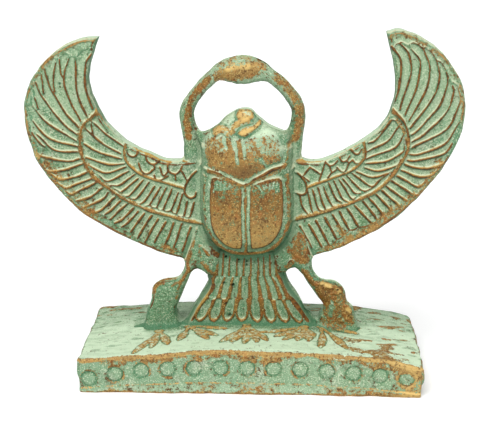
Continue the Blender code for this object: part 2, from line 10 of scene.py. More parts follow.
import bpy
import numpy as np
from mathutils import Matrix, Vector


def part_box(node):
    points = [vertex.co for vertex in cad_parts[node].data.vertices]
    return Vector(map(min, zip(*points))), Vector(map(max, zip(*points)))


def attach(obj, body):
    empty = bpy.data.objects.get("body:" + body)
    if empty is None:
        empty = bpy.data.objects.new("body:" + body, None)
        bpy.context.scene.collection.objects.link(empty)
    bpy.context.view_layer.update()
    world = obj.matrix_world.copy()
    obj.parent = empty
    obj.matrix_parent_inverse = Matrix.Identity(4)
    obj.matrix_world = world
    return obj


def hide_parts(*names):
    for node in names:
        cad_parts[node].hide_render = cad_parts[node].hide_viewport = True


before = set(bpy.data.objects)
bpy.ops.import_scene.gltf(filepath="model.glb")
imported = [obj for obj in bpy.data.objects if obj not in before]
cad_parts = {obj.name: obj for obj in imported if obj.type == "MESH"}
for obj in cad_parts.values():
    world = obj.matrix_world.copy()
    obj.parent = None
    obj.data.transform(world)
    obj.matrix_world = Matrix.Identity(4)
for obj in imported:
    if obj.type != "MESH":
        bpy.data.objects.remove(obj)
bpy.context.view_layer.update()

NODE = "winged_scarab_statue"
LOW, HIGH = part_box(NODE)

# Sizes in millimetres of the statue; heights called FRONT or MIDDLE stand forward, towards -Y
WIDTH = 205.64
MM = (HIGH[0] - LOW[0]) / WIDTH
UNIT = 2.06
PLINTH_TOP = 21.3
END_DROP = 5.5
PLINTH_SHIFT = 3.5
PLINTH_LENGTH = 158.0
PLINTH_DEPTH = 68.0
PLINTH_CORNER = 3.0
STRIP_TOP = 5.7
STRIP_DROP = 3.8
WING_FRONT = -3.5
BODY_FRONT = 0.5
BODY_DEPTH = 10.5
TAIL_FRONT = -2.2
LEG_FRONT = -1.0
BASE_FRONT = -4.0
BASE_HALF = 57
RING_MIDDLE = -7.8
RING_DEPTH = 4.4
RING_HALF = 3.1
BACK = 12.5
HEAD_THINNED = 9.5
FEET_THINNED = 7.5
THINNEST = 0.6
FOOT_SUNK = 4.5
EDGE = 1.3

# Drawing: grid steps, how far fields reach, how steeply heights fall outside an outline, and where
# they start; what wanders, and how near a grid point may be to an outline before it moves onto it
STEP = 0.36
PLINTH_STEP = 0.5
REACH = 9.0
OUTSIDE_SLOPE = 3.0
FAR_BACK = -12.0
WANDER = 0.13
WANDER_SIZE = 2.6
SNAP = 0.3
WALL_RINGS = 8
PLINTH_RINGS = 44

# Relief in millimetres
RIDGE_HALF = 0.82
RIDGE_RISE = 0.8
RIB_HALF = 1.25
RIB_RISE = 1.15
RIM_RISE = 0.4
BAR_RISE = 0.8
LEG_ROUND = 3.6
SPIRAL_PITCH = 2.1
SPIRAL_RISE = 0.6
SPIRAL_OUTER, SPIRAL_FULL = 4.4, 3.4
PIT_DEPTH = 1.1
BLEND = 3.2
PART_BLEND = 0.9
FILLET = 3.0
WIDEST_FEATHER = 11
FEATHER_POINTS = 16

# The middle line of the beetle, the height from which the loop stands free, and how far the head
# and the loop reach to the sides, in hundredths
BODY_MIDDLE = 1.0
LOOP_FROM = 44
MIDDLE_HALF = 16

# The figure's pieces, and where they are parted, in millimetres
PIECES = ("left_wing", "right_wing", "beetle_and_loop", "tail_and_feet")
LEFT_CUT, RIGHT_CUT, LOW_CUT = -31.0, 33.0, 58.0
WING_ZONE = 50

# Each wing: outer and inner edge from the tip to the root, ribs, ridge of the leading edge, shoulder,
# scales, and the ridges of the long feathers outside the outer rib and of the short ones inside it
LEFT_WING = {
    "outer": [(32.4, 67.0), (37.1, 66.5), (43.7, 62.6), (48.8, 55.4), (49.8, 48.5), (47.6, 39.1),
              (42.6, 31.8), (37.2, 26.2), (30.6, 22.1), (21.4, 17.8), (14.8, 15.7), (6.0, 14.2)],
    "inner": [(32.4, 67.0), (34.4, 61.3), (34.9, 56.2), (33.4, 51.4), (30.8, 46.9), (26.8, 43.1),
              (21.0, 40.4), (16.6, 38.8), (6.0, 39.8)],
    "outer_rib": [(32.6, 50.6), (36.3, 47.0), (37.1, 42.7), (35.6, 37.1), (31.5, 33.0),
                  (25.4, 29.0), (16.8, 26.0), (8.4, 24.2)],
    "inner_rib": [(26.8, 43.2), (27.1, 41.5), (26.7, 39.3), (24.9, 36.9), (22.2, 35.4), (16.2, 33.4),
                  (13.6, 32.7)],
    "leading": [(34.0, 51.0), (34.7, 53.0), (35.4, 56.3), (35.2, 61.3), (33.6, 63.3), (32.9, 64.7)],
    "shoulder": [(10.5, 36.8), (11.7, 35.6), (12.9, 33.5), (13.3, 32.0), (13.0, 31.1), (12.1, 30.4),
                 (11.0, 30.8), (10.7, 31.7)],
    "scales": [[(17.2, 38.2), (17.1, 36.9), (16.3, 36.2), (15.2, 36.1), (14.3, 36.9), (13.9, 37.8)],
               [(22.1, 40.4), (22.0, 39.2), (21.2, 38.4), (20.2, 38.3), (19.4, 38.9), (19.1, 39.6)],
               [(26.6, 42.3), (26.4, 40.9), (25.6, 40.1), (24.7, 40.0), (24.0, 40.7), (23.8, 41.6)],
               [(20.3, 35.7), (19.8, 34.7), (18.7, 34.6), (17.3, 35.5)],
               [(23.8, 38.3), (23.4, 37.0), (22.5, 36.1), (21.4, 36.2), (20.7, 37.0)],
               [(15.5, 35.8), (15.4, 34.5)], [(20.4, 38.3), (20.2, 37.4), (21.2, 36.4)],
               [(17.2, 36.6), (18.2, 35.6), (19.0, 37.6)], [(13.9, 36.6), (13.2, 35.4), (12.6, 34.2)]],
    "long": [
        [(35.2, 49.2), (36.6, 52.1), (37.5, 55.9), (37.5, 61.7)],
        [(36.5, 47.8), (38.8, 52.2), (40, 55.9), (40, 59.5), (38.9, 62.5)],
        [(40.2, 58), (40.8, 59.1), (41.1, 62.2)],
        [(37.1, 46.6), (39.8, 49.6), (43.3, 55.5), (44.7, 60.2)],
        [(42.5, 54.9), (42.7, 57.7), (41.9, 61.5)],
        [(37.6, 45), (40.4, 47.2), (45.1, 53.3), (46.7, 56.9)], [(45.1, 54.6), (45.3, 58.9)],
        [(37.7, 43.4), (44.6, 47.9), (47.7, 51.7)], [(46.4, 51), (47.1, 53.6)],
        [(37.7, 42.3), (44.2, 44.2), (47.7, 48.2)], [(45.3, 42.1), (46.3, 42.8), (48, 45.3)],
        [(37.4, 41), (43.1, 41.4), (46.9, 45)], [(37.5, 39.3), (40.2, 38.7), (46.3, 40), (47.3, 41.5)],
        [(36.4, 38.3), (41.3, 36.7), (45, 36.4), (46, 37.9)],
        [(35.6, 36.4), (38.7, 35.1), (42.1, 34.5), (44.4, 36)],
        [(34.3, 35), (39.9, 32.7), (41.2, 32.5), (42.7, 33.6)],
        [(33.3, 34.1), (36.6, 32.3), (39.6, 30.9), (40.7, 31.5)],
        [(32.2, 32.6), (35.4, 30.3), (38.6, 29.3)], [(30.9, 31.6), (32.3, 29.9), (37, 27.8)],
        [(29.4, 30.5), (32.5, 27.6), (34.2, 26.7)], [(28.2, 29.6), (30.5, 27.2), (32, 26.3)],
        [(26.8, 28.8), (30.6, 25)], [(25.3, 27.9), (27.8, 25), (29.7, 24.1)],
        [(24.3, 27), (26.6, 24.2), (28.1, 23.2)], [(22.8, 26.6), (25.9, 22.1)],
        [(21.1, 26.2), (24.6, 20.5)], [(19.7, 25.2), (22.8, 19.6)], [(17.9, 24.5), (20.5, 19.6)],
        [(16, 24.3), (18.1, 18.9)], [(14, 24.2), (16.1, 18.3)], [(12, 23.4), (14.1, 17.5)],
        [(10.6, 23.2), (11.8, 18.7)]],
    "short": [
        [(34.4, 48.1), (34, 44.8)], [(33.7, 47.8), (31, 45.1), (27, 42.2)],
        [(35.5, 46.3), (32.2, 43.1), (27.9, 40.7)], [(36.2, 42.9), (33.3, 41.1), (27.6, 39.4)],
        [(35.8, 39.7), (30.9, 38.1), (26.9, 38.3)],
        [(35.5, 38), (32.8, 36.4), (30.9, 36.1), (26.7, 37.6)],
        [(33.2, 35.6), (31, 34.2), (26.2, 36.6)], [(30.6, 33.2), (28.2, 33.4), (24.8, 36)],
        [(28.6, 31.9), (27.8, 31.9), (24.1, 34.9)], [(26.9, 30.7), (26, 31.1), (22.8, 34.6)],
        [(25.3, 30.1), (24.4, 30.4), (21.5, 34)], [(23.5, 29), (22.5, 29.8), (20.2, 33.1)],
        [(21.4, 28.9), (18.9, 32.9)], [(19.8, 28.3), (17.7, 32.7)], [(18.3, 27.7), (16.4, 32.6)],
        [(16.5, 27.6), (14.9, 31.6)], [(15.3, 26.7), (13.8, 31.3)], [(13.5, 26.3), (12.7, 29.7)],
        [(12.1, 26.1), (11.1, 29.6)]],
}
RIGHT_WING = {
    "outer": [(31.9, 68.5), (35.9, 68.8), (43.2, 65.0), (48.8, 57.4), (49.8, 48.5), (46.5, 39.6),
              (41.4, 32.5), (36.3, 26.9), (30.3, 22.6), (23.4, 18.9), (17.2, 16.9), (7.0, 15.2)],
    "inner": [(31.9, 68.5), (33.8, 60.3), (34.2, 54.1), (32.4, 48.9), (28.1, 44.5), (21.7, 40.8),
              (16.3, 39.1), (7.0, 40.3)],
    "outer_rib": [(32.9, 51.9), (36.4, 48.2), (37.5, 43.7), (36.1, 39.4), (31.8, 33.7),
                  (26.4, 30.4), (20.0, 27.9), (10.2, 24.9)],
    "inner_rib": [(27.4, 43.9), (27.8, 40.9), (26.7, 39.1), (24.9, 37.4), (21.7, 36.0), (14.9, 33.3)],
    "leading": [(33.4, 52.2), (34.3, 54.1), (34.9, 56.4), (35.2, 61.4), (34.7, 63.4), (32.8, 65.4)],
    "shoulder": [(11.9, 36.9), (13.2, 36.0), (14.3, 34.6), (14.7, 33.1), (14.4, 31.9), (13.4, 31.5),
                 (12.1, 32.1)],
    "scales": [[(13.8, 35.8), (15.3, 38.0)], [(15.3, 38.0), (17.6, 36.5)], [(17.4, 34.8), (18.9, 39.4)],
               [(13.8, 35.8), (15.2, 34.6)],
               [(19.0, 39.1), (19.8, 38.4), (20.7, 38.6), (21.5, 39.6)],
               [(21.9, 40.3), (22.5, 39.4), (23.4, 39.6), (24.2, 40.7)],
               [(24.4, 42.2), (25.2, 41.2), (26.1, 41.2), (26.9, 42.4)],
               [(19.8, 38.4), (20.4, 36.9), (21.3, 37.5)], [(19.4, 35.6), (20.4, 36.9)],
               [(21.4, 38.1), (22.5, 37.1), (23.4, 37.3), (24.1, 39.2)],
               [(24.8, 39.8), (25.6, 39.0), (26.6, 39.4), (27.2, 40.8)],
               [(23.4, 39.6), (24.1, 39.2), (24.8, 39.8)]],
    "long": [
        [(35.2, 51.4), (37.3, 59.3), (36.8, 63.9), (35.1, 65.8)],
        [(36.3, 50.1), (38.7, 56.2), (39.3, 62.2), (37.2, 65.1)],
        [(37.3, 48.8), (40.6, 55.2), (41.6, 60.2), (40.3, 64.3)],
        [(37.7, 47.3), (42.1, 53.4), (43.8, 58.6), (43.2, 61.6)],
        [(38.1, 45.7), (39.2, 46.5), (43.9, 52.3), (45.6, 57.6), (45.2, 59.9)],
        [(38.2, 44), (41, 45.9), (45.4, 50.7), (47.1, 55.2), (46.7, 56.8)],
        [(38.2, 42.7), (45.8, 47), (48.4, 52.7)],
        [(37.9, 41.2), (40.1, 41.2), (45.7, 43.8), (48.5, 48.6)],
        [(37.4, 39.7), (39.4, 39.6), (45.3, 41.3), (47.1, 43.8)],
        [(36.9, 38.7), (38.4, 38.1), (42.3, 37.9), (45.5, 39.2), (46.2, 40.5)],
        [(36, 37.4), (39.2, 36.1), (42.4, 36.2), (44.7, 38.1)],
        [(35.1, 36.1), (39.2, 33.8), (40.7, 33.9), (41.9, 35.2)],
        [(33.9, 35), (38.6, 31.9), (39.9, 31.8)], [(32.7, 33.8), (37.4, 30.3)],
        [(31.8, 32.7), (36, 29)], [(30.4, 31.9), (34, 28.1)], [(28.8, 31), (32.1, 27.1)],
        [(27.5, 30.2), (30.8, 25.8)], [(25.7, 29), (29.3, 25)], [(23.9, 28.4), (26.5, 24.2)],
        [(22.2, 27.5), (24.5, 23.3)], [(20.6, 26.7), (23.3, 22.3)], [(18.8, 26.1), (21.6, 21.1)],
        [(16.9, 25.3), (20, 19.5)], [(15.2, 24.3), (18.3, 19)], [(13.1, 23.9), (15.9, 18.7)]],
    "short": [
        [(33.3, 48.9), (30.2, 44.4), (28.4, 43.5)], [(34.9, 47.4), (32.7, 44.1), (28.1, 41.6)],
        [(36.2, 45.6), (35.3, 43.6), (33.5, 42.1), (28, 40.1)],
        [(36.6, 43), (36.3, 41.7), (32.5, 39.4), (27.6, 39)],
        [(36, 40), (34.9, 38.5), (30.8, 37.2), (27.7, 38)], [(33.1, 36.7), (29.5, 35.7), (25.9, 37)],
        [(31.2, 35.1), (29.2, 33.6), (24.8, 36.8)],
        [(29.1, 33), (27.8, 32.5), (26.3, 33.2), (23.7, 36.2)],
        [(26.9, 31.9), (25.4, 32.1), (22.8, 35.4)],
        [(25.8, 30.9), (25.3, 30.5), (24.2, 31.5), (21.9, 35.2)],
        [(24.6, 29.7), (22.5, 30.9), (20.8, 34.8)], [(22.9, 29.6), (21.3, 30.5), (19.6, 34.4)],
        [(21.7, 28.7), (20.8, 28.6), (20, 29.7), (18.5, 33.5)],
        [(19.7, 28.2), (18.9, 28.2), (17.2, 33.1)],
        [(18.6, 27.8), (17.7, 27.8), (17.1, 28.7), (15.9, 32.7)],
        [(17, 27.2), (16, 27.6), (14.7, 32.7)], [(15.3, 26.6), (13.6, 28.9), (13.2, 31.4)]],
}

# Half outlines read upwards about the beetle's middle line, and the sides of the tail read downwards
BODY_HALF = [(0.0, 17.2), (3.8, 17.6), (7.2, 19.6), (9.7, 23.2), (10.4, 28.4), (10.3, 35.4),
             (10.0, 39.5), (10.2, 43.0), (9.2, 46.3), (7.4, 47.5), (5.2, 49.3), (3.0, 51.2),
             (1.6, 52.1), (0.0, 52.4)]
TAIL_LEFT = [(6.6, 18.5), (9.3, 11.6), (9.2, 9.6), (11.2, 6.0), (12.8, 3.4), (15.8, -2.0)]
TAIL_RIGHT = [(6.6, 18.5), (8.8, 12.1), (10.2, 8.7), (13.3, 4.6), (17.2, -2.0)]
TAIL_FACE = [(13.6, 0.0), (13.0, 1.6), (10.3, 6.4), (7.6, 12.0), (7.2, 17.2)]

# How far the beetle swells forward at each height, as shares of its depth
SWELL_AT = [17.2, 18.6, 21.0, 26.0, 34.0, 41.0, 46.0, 49.5, 52.4]
SWELL_IS = [0.0, 0.45, 0.74, 0.93, 1.0, 0.97, 0.75, 0.50, 0.12]

# The loop's middle line from root to root, and its half width there as shares of the loop's own
RING_LINE = [(-11.0, 36.0), (-11.2, 42.0), (-12.4, 46.8), (-12.8, 49.5), (-12.3, 51.8),
             (-10.8, 54.0), (-8.7, 56.5), (-6.3, 58.6), (-3.5, 59.9), (0.3, 60.3), (3.5, 59.9),
             (5.9, 58.7), (8.1, 57.1), (10.6, 54.4), (12.2, 51.7), (12.6, 49.2), (12.1, 46.0),
             (11.2, 42.0), (11.2, 37.0)]
RING_AT = [0.0, 0.09, 0.16, 0.24, 0.78, 0.85, 0.92, 1.0]
RING_IS = [1.75, 1.70, 1.20, 1.0, 1.0, 1.12, 1.50, 1.50]
SUN_PLACE = (-0.2, 59.8)
SUN_HALF = (5.7, 3.2)

# The forelegs with their feet, across counted outwards, and the middles of the spirals on them
LEFT_FOOT = [(5.4, 17.0), (6.0, 12.2), (8.3, 12.2), (10.4, 13.3), (11.9, 12.6), (12.9, 10.4),
             (14.0, 7.7), (15.2, 4.9), (15.9, 3.0), (15.6, -3.0), (22.9, -3.0), (22.8, 2.5),
             (21.5, 5.8), (21.2, 8.7), (19.2, 10.7), (16.0, 11.2), (14.1, 12.6), (13.4, 15.4),
             (12.2, 19.0), (11.5, 22.5), (10.9, 26.5), (9.6, 27.0), (8.9, 23.5), (7.4, 19.8)]
RIGHT_FOOT = [(7.0, 17.5), (7.9, 12.9), (10.0, 13.2), (12.1, 13.8), (13.5, 12.6), (15.4, 10.0),
              (17.4, 7.0), (18.9, 4.7), (18.0, 1.5), (18.0, -3.0), (26.2, -3.0), (26.0, 3.9),
              (24.2, 6.0), (23.5, 9.0), (21.4, 10.9), (18.4, 11.3), (16.6, 12.9), (15.9, 15.9),
              (15.0, 19.6), (14.0, 23.2), (13.0, 26.8), (11.8, 27.2), (11.0, 24.2), (9.2, 20.4)]
LEFT_SPIRAL = (18.7, 7.2)
RIGHT_SPIRAL = (21.6, 7.0)

# Lines and outlines of the wing cases, breast plate and head, as seen; the panel is half of a pair
CASE_PANEL = [(0.95, 35.4), (0.85, 33.0), (0.85, 26.0), (0.95, 20.6), (1.8, 19.8), (4.2, 20.2),
              (6.5, 22.0), (7.9, 25.0), (8.4, 29.0), (8.3, 34.0), (7.9, 36.4), (6.4, 36.8),
              (3.2, 36.3), (0.95, 35.4)]
CASE_SEAM = [(BODY_MIDDLE, 17.8), (BODY_MIDDLE, 35.0)]
CASE_RIM = [(-8.6, 36.6), (-8.8, 32.4), (-8.7, 28.4), (-8.1, 24.8), (-6.7, 21.9), (-4.5, 19.6),
            (-1.6, 18.3), (1.2, 18.0), (4.8, 18.5), (7.8, 20.1), (10.0, 23.4), (10.9, 27.4),
            (10.8, 32.5), (10.3, 37.0)]
VEE = [(-8.1, 38.2), (-5.5, 37.7), (-2.1, 36.5), (0.7, 35.5), (3.4, 36.9), (6.5, 38.6), (9.6, 39.5),
       (10.2, 41.2), (10.5, 43.4), (10.3, 45.2)]
PLATE = [(-8.1, 38.6), (-5.5, 38.1), (-2.1, 36.9), (0.7, 36.0), (3.4, 37.4), (6.5, 39.1), (9.1, 40.1),
         (9.7, 42.4), (9.0, 44.7), (8.1, 46.2), (6.8, 47.3), (5.4, 47.7), (4.1, 47.0), (2.4, 46.5),
         (0.0, 45.8), (-2.2, 46.0), (-3.6, 46.7), (-5.4, 46.7), (-7.4, 46.2), (-8.7, 45.0),
         (-8.9, 42.0)]

# Streaks on the breast plate: a line, and how much browner it is; the greener ones are grooves
STREAKS = [([(-3.8, 45.4), (-3.4, 43.6)], -0.6), ([(-3.1, 45.6), (-2.6, 43.0), (-2.5, 40.5)], 0.5),
           ([(-1.7, 45.0), (-1.2, 42.6), (-0.8, 40.4)], -0.8),
           ([(-0.6, 45.2), (-0.1, 42.0), (0.3, 38.6)], 0.6), ([(0.4, 44.8), (0.7, 41.8)], -0.5),
           ([(2.9, 44.7), (3.5, 43.3), (4.1, 42.2)], 0.5), ([(4.2, 41.5), (5.4, 39.8)], -0.5)]
# Fans of pale scratches at the tops of the wing cases: centre, then turns from upright in degrees
SCRATCHES = [((-4.9, 31.3), (-36, -24, -12, 2, 16, 30)), ((6.2, 31.7), (-34, -22, -10, 2, 14, 26, 38))]
SCRATCH_FROM, SCRATCH_TO = 2.6, 4.6

LEAF = [(-1.1, 46.6), (-0.2, 47.6), (1.2, 48.3), (2.3, 48.5), (3.2, 49.2), (4.0, 49.7), (4.4, 49.2),
        (4.1, 48.4), (3.4, 47.8), (2.1, 46.9), (0.9, 46.1), (-0.4, 46.0)]
RIBBON = [(-5.9, 46.9), (-4.9, 47.5), (-3.8, 47.4), (-2.9, 46.8), (-2.1, 47.3), (-1.2, 48.5),
          (-0.2, 49.1), (1.2, 49.5)]
KNOB = [(-1.2, 49.8), (-1.3, 50.9), (-0.4, 51.9), (0.5, 52.0), (1.5, 52.0), (2.4, 51.3), (2.7, 50.0),
        (1.2, 49.6), (-0.2, 49.5)]
HEAD_TOP = [(10.4, 45.9), (9.5, 46.5), (8.0, 47.3), (6.1, 48.2), (4.5, 49.3), (3.0, 50.4), (2.0, 51.5),
            (0.6, 51.8), (-0.4, 51.7), (-1.5, 51.4), (-3.4, 50.1), (-5.6, 48.0), (-7.4, 46.9),
            (-9.0, 46.3), (-10.3, 46.0)]

# Tiers of the tail: top and bottom of the cells, the bars between them as shares of half the fan's
# width, and the bars' half widths at the top and the bottom
TAIL_TIERS = [
    (17.4, 12.2, [-0.92, -0.755, -0.556, -0.325, -0.113, 0.106, 0.338, 0.523, 0.735, 0.92], 0.40, 0.62),
    (11.7, 6.7, [-0.96, -0.66, -0.415, -0.178, 0.075, 0.31, 0.53, 0.77, 0.94], 0.60, 1.15),
]

# The tail's lowest tier: petals by their top and foot, as shares; half widths along a petal; its span
PETALS = [(-0.83, -0.85), (-0.62, -0.59), (-0.33, -0.35), (-0.08, -0.10), (0.17, 0.18),
          (0.44, 0.43), (0.70, 0.68), (0.92, 0.94)]
PETAL_SHAPE = [(0.0, 0.62), (0.25, 0.88), (0.55, 1.0), (0.8, 0.9), (0.93, 0.6), (1.0, 0.0)]
PETAL_SPAN = (6.0, 0.9)
PETAL_WIDE = 2.05

# Folds of the legs and feet: raised lines, with their half widths and rises in millimetres
FOLDS = [
    ([(-10.7, 22.9), (-11.3, 19.7), (-12.0, 17.5), (-12.9, 15.4)], 0.9, 0.5),
    ([(-10.3, 15.9), (-9.9, 19.1), (-9.0, 18.6), (-7.8, 17.0)], 0.8, 0.5),
    ([(-12.7, 13.4), (-14.3, 11.1), (-16.4, 9.7)], 1.0, 0.5),
    ([(-14.3, 10.7), (-15.2, 8.4), (-15.5, 6.1)], 0.8, 0.4),
    ([(-9.0, 15.0), (-7.8, 13.3), (-6.9, 12.4)], 0.9, 0.5),
    ([(-21.0, 8.3), (-20.0, 10.0), (-18.7, 10.8), (-17.3, 10.7), (-15.5, 11.0)], 0.9, 0.6),
    ([(-20.7, 7.9), (-20.3, 9.2), (-18.6, 10.1), (-17.4, 9.5)], 0.8, 0.5),
    ([(-20.9, 6.4), (-20.0, 7.9), (-18.6, 8.5), (-17.0, 8.2), (-16.0, 7.0)], 0.8, 0.45),
    ([(10.3, 14.7), (11.0, 16.0), (11.7, 15.9), (11.4, 14.7), (10.3, 14.1)], 0.8, 0.7),
    ([(14.6, 15.9), (13.4, 16.6), (12.1, 17.4), (11.7, 18.7), (12.6, 20.6)], 0.9, 0.6),
    ([(17.4, 10.4), (18.6, 10.4), (20.0, 9.8)], 1.2, 0.9),
    ([(19.0, 9.7), (20.8, 9.7), (22.3, 9.2), (23.6, 7.8)], 1.1, 0.8),
    ([(13.9, 13.6), (16.1, 10.9), (17.9, 8.9), (19.0, 6.6)], 0.9, 0.5),
    ([(24.0, 5.0), (25.2, 4.2), (25.4, 2.6)], 1.1, 0.7),
]

# Casting pits: across, up and half width
PITS = [(-2.3, 9.4, 0.9), (-4.4, 10.0, 0.6), (-4.0, 16.4, 0.6), (-1.1, 15.7, 0.5), (0.7, 15.3, 0.5),
        (0.7, 14.5, 0.5), (-3.9, 4.9, 0.6), (-3.1, 1.9, 0.6), (-24.9, 63.2, 0.6), (29.6, 28.6, 0.5),
        (-33.3, 23.9, 0.5), (22.1, 9.0, 0.5), (37.6, 45.2, 0.5), (-41.3, 56.6, 0.5), (46.5, 36.5, 0.6)]

# Painted bronze: lines with their half widths in millimetres, how brown and how golden they are
PATCHES = [
    ([(-11.2, 20.6), (-12.0, 17.5), (-12.9, 15.4), (-12.8, 13.3)], 1.0, 0.6, 0.0),
    ([(-9.6, 16.6), (-9.9, 19.1), (-9.0, 18.6), (-7.9, 17.0)], 1.0, 0.5, 0.0),
    ([(-12.7, 13.4), (-14.3, 11.1), (-16.6, 9.5)], 1.2, 0.65, 0.0),
    ([(-14.3, 10.7), (-15.2, 8.4), (-15.6, 6.1)], 1.1, 0.6, 0.0),
    ([(-9.2, 15.2), (-7.8, 13.4), (-6.9, 12.0)], 1.6, 0.75, 0.05),
    ([(-21.2, 7.4), (-20.4, 9.6), (-18.7, 10.8), (-15.8, 11.2)], 1.1, 0.8, -0.1),
    ([(-20.6, 7.9), (-20.2, 9.2), (-18.6, 10.1)], 1.0, 0.6, 0.0),
    ([(12.9, 21.0), (13.2, 19.0), (13.6, 17.0)], 4.0, 0.74, 0.0),
    ([(11.0, 18.6), (12.6, 16.6), (14.4, 16.0)], 2.6, 0.6, 0.0),
    ([(11.4, 15.4), (10.3, 14.4)], 1.6, 0.8, 0.05),
    ([(14.2, 13.4), (16.1, 10.8), (17.9, 8.9)], 2.2, 0.9, 0.0),
    ([(17.9, 10.2), (20.4, 9.6), (22.4, 9.0)], 2.6, 0.9, 0.0),
    ([(19.4, 7.6), (22.4, 6.4), (22.6, 2.4), (22.4, 0.4)], 6.0, 0.72, 0.0),
    ([(18.6, 7.6), (19.6, 4.4), (19.2, 0.8)], 2.6, 0.62, 0.0),
    ([(20.9, 6.0), (20.5, 2.6)], 1.3, -0.5, 0.0),
    ([(24.4, 3.8), (25.4, 1.2)], 2.6, 0.8, 0.0),
    ([(18.4, 10.5), (20.4, 9.9)], 1.1, 0.4, 1.0),
    ([(22.0, 9.2), (22.6, 8.6)], 0.9, 0.4, 1.0),
    ([(24.5, 4.3), (25.1, 3.8)], 1.1, 0.4, 1.0),
    ([(-7.7, 58.0), (-10.2, 55.2), (-12.0, 52.2), (-12.5, 48.5), (-12.3, 44.5)], 1.9, 0.75, 0.0),
    ([(7.4, 58.6), (10.1, 55.9), (12.3, 52.8), (12.9, 49.2), (12.4, 46.0), (11.6, 44.2)], 2.4, 0.6, 0.1),
    ([(-5.0, 58.4), (-3.0, 58.8), (-0.4, 59.4), (2.4, 60.0)], 3.8, 0.78, 0.2),
    ([(-3.2, 60.2), (-1.2, 61.0), (1.2, 60.9)], 1.8, 0.2, 0.8),
    ([(-4.6, 60.6), (0.0, 62.6), (4.6, 60.6)], 2.6, 0.3, 0.3),
    ([(-46.7, 38.7), (-42.9, 33.4), (-38.8, 28.7), (-35.9, 26.2)], 5.5, 0.42, 0.0),
    ([(-35.9, 26.2), (-30.2, 22.1), (-21.4, 18.0), (-12.0, 15.6)], 4.0, 0.34, 0.0),
    ([(-43.0, 37.6), (-36.0, 31.0), (-30.0, 26.6), (-22.0, 22.6)], 6.0, 0.24, 0.0),
    ([(-18.6, 18.9), (-16.0, 17.6)], 1.8, 0.5, 0.1),
    ([(-x, z) for x, z in LEFT_WING["outer_rib"][:6]], 2.2, 0.5, 0.0),
    ([(-x, z) for x, z in LEFT_WING["outer_rib"][5:]], 1.3, 0.5, 0.1),
    ([(-x, z) for x, z in LEFT_WING["inner_rib"][::2]], 0.9, 0.6, 0.1),
    ([(32.9, 51.9), (37.5, 43.7), (36.1, 39.4), (31.8, 33.7), (26.4, 30.4), (10.2, 24.9)],
     1.4, 0.5, 0.1),
    ([(27.4, 43.9), (26.7, 39.1), (21.7, 36.0), (14.9, 33.3)], 0.9, 0.6, 0.1),
    ([(-32.8, 66.4), (-37.1, 65.9), (-43.7, 61.8), (-48.2, 55.0), (-49.3, 48.5), (-47.2, 39.8)],
     1.8, 0.36, 0.6),
    ([(32.4, 67.6), (35.9, 68.0), (43.0, 64.2), (48.2, 57.0), (49.2, 48.5)], 2.2, 0.36, 0.6),
    ([(44.6, 39.2), (42.8, 35.1), (39.7, 31.8), (37.6, 30.1), (33.3, 26.8), (30.0, 23.6)], 3.4, 0.55, 0.1),
    ([(30.0, 23.6), (26.2, 21.6), (23.8, 19.8), (18.7, 17.9)], 3.0, 0.55, 0.1),
    ([(22.0, 23.4), (24.6, 21.0)], 2.6, 0.55, 0.1),
    ([(-33.0, 50.8), (-30.6, 47.3), (-27.9, 44.7), (-24.8, 42.3), (-20.6, 40.2), (-16.6, 38.8)],
     1.1, 0.85, 0.2),
    ([(12.4, 39.3), (16.4, 39.3), (20.2, 40.5), (24.5, 42.6), (28.5, 45.2), (32.2, 49.6)],
     1.1, 0.85, 0.35),
    ([(-8.1, 38.0), (-2.1, 36.2), (0.7, 35.0), (3.4, 36.4), (9.6, 39.2), (10.3, 43.8)], 1.2, 0.6, 0.1),
    ([(-8.4, 36.8), (-8.6, 30.0), (-8.2, 25.6), (-6.7, 22.1)], 0.9, 0.45, 0.0),
    ([(-6.4, 21.2), (-4.5, 19.4), (-1.6, 18.2), (1.2, 17.9), (4.8, 18.4), (7.8, 20.0)], 2.0, 0.8, 0.0),
    ([(7.8, 20.0), (9.9, 23.4), (10.6, 27.4), (10.5, 32.5), (10.1, 37.0)], 1.4, 0.7, 0.0),
    ([(0.8, 18.6), (1.0, 26.0), (0.9, 34.4)], 0.9, 0.6, 0.0),
]

# Petals on the plinth's top, in millimetres: each fan's apex and the far ends of its petals
TUFTS = [
    ((-40.2, -5.4), [(-49.5, -31), (-41.8, -25.8), (-35, -19.3), (-34.3, -23)]),
    ((-26.2, -2.1), [(-29.4, -19.1), (-15.4, -18.5), (-11.6, -14.2), (-7.4, -5.4)]),
    ((2.1, -1.0), [(-9.2, -22.8), (-4.3, -22.6), (1.9, -24), (7.5, -22.1), (12.1, -19.9)]),
    ((30.0, -0.7), [(9.1, -9.5), (15.7, -14.1), (20.2, -17.8), (26.3, -17.6), (31.7, -17.9),
                    (34.3, -12.3)]),
    ((38.1, 0.4), [(37.3, -25.1), (49.4, -24.6), (55.6, -3.6)]),
]
TUFT_PETAL = [(0, 0.5), (0.18, 0.34), (0.34, 0.36), (0.5, 0.85), (0.72, 1.0), (0.92, 0.62), (1, 0.25)]
TUFT_POINTS = 18
TUFT_MARGIN = 0.5
PETAL_HALF = 2.1

# The rest of the plinth, in millimetres: hollows, ends, and the line cut along its front edge
DISC_COUNT = 13
DISC_RADIUS = 3.5
END_BULGE = 2.0
END_LEAN = 2.6
EDGE_LINE = -PLINTH_DEPTH / 2 + 2.6

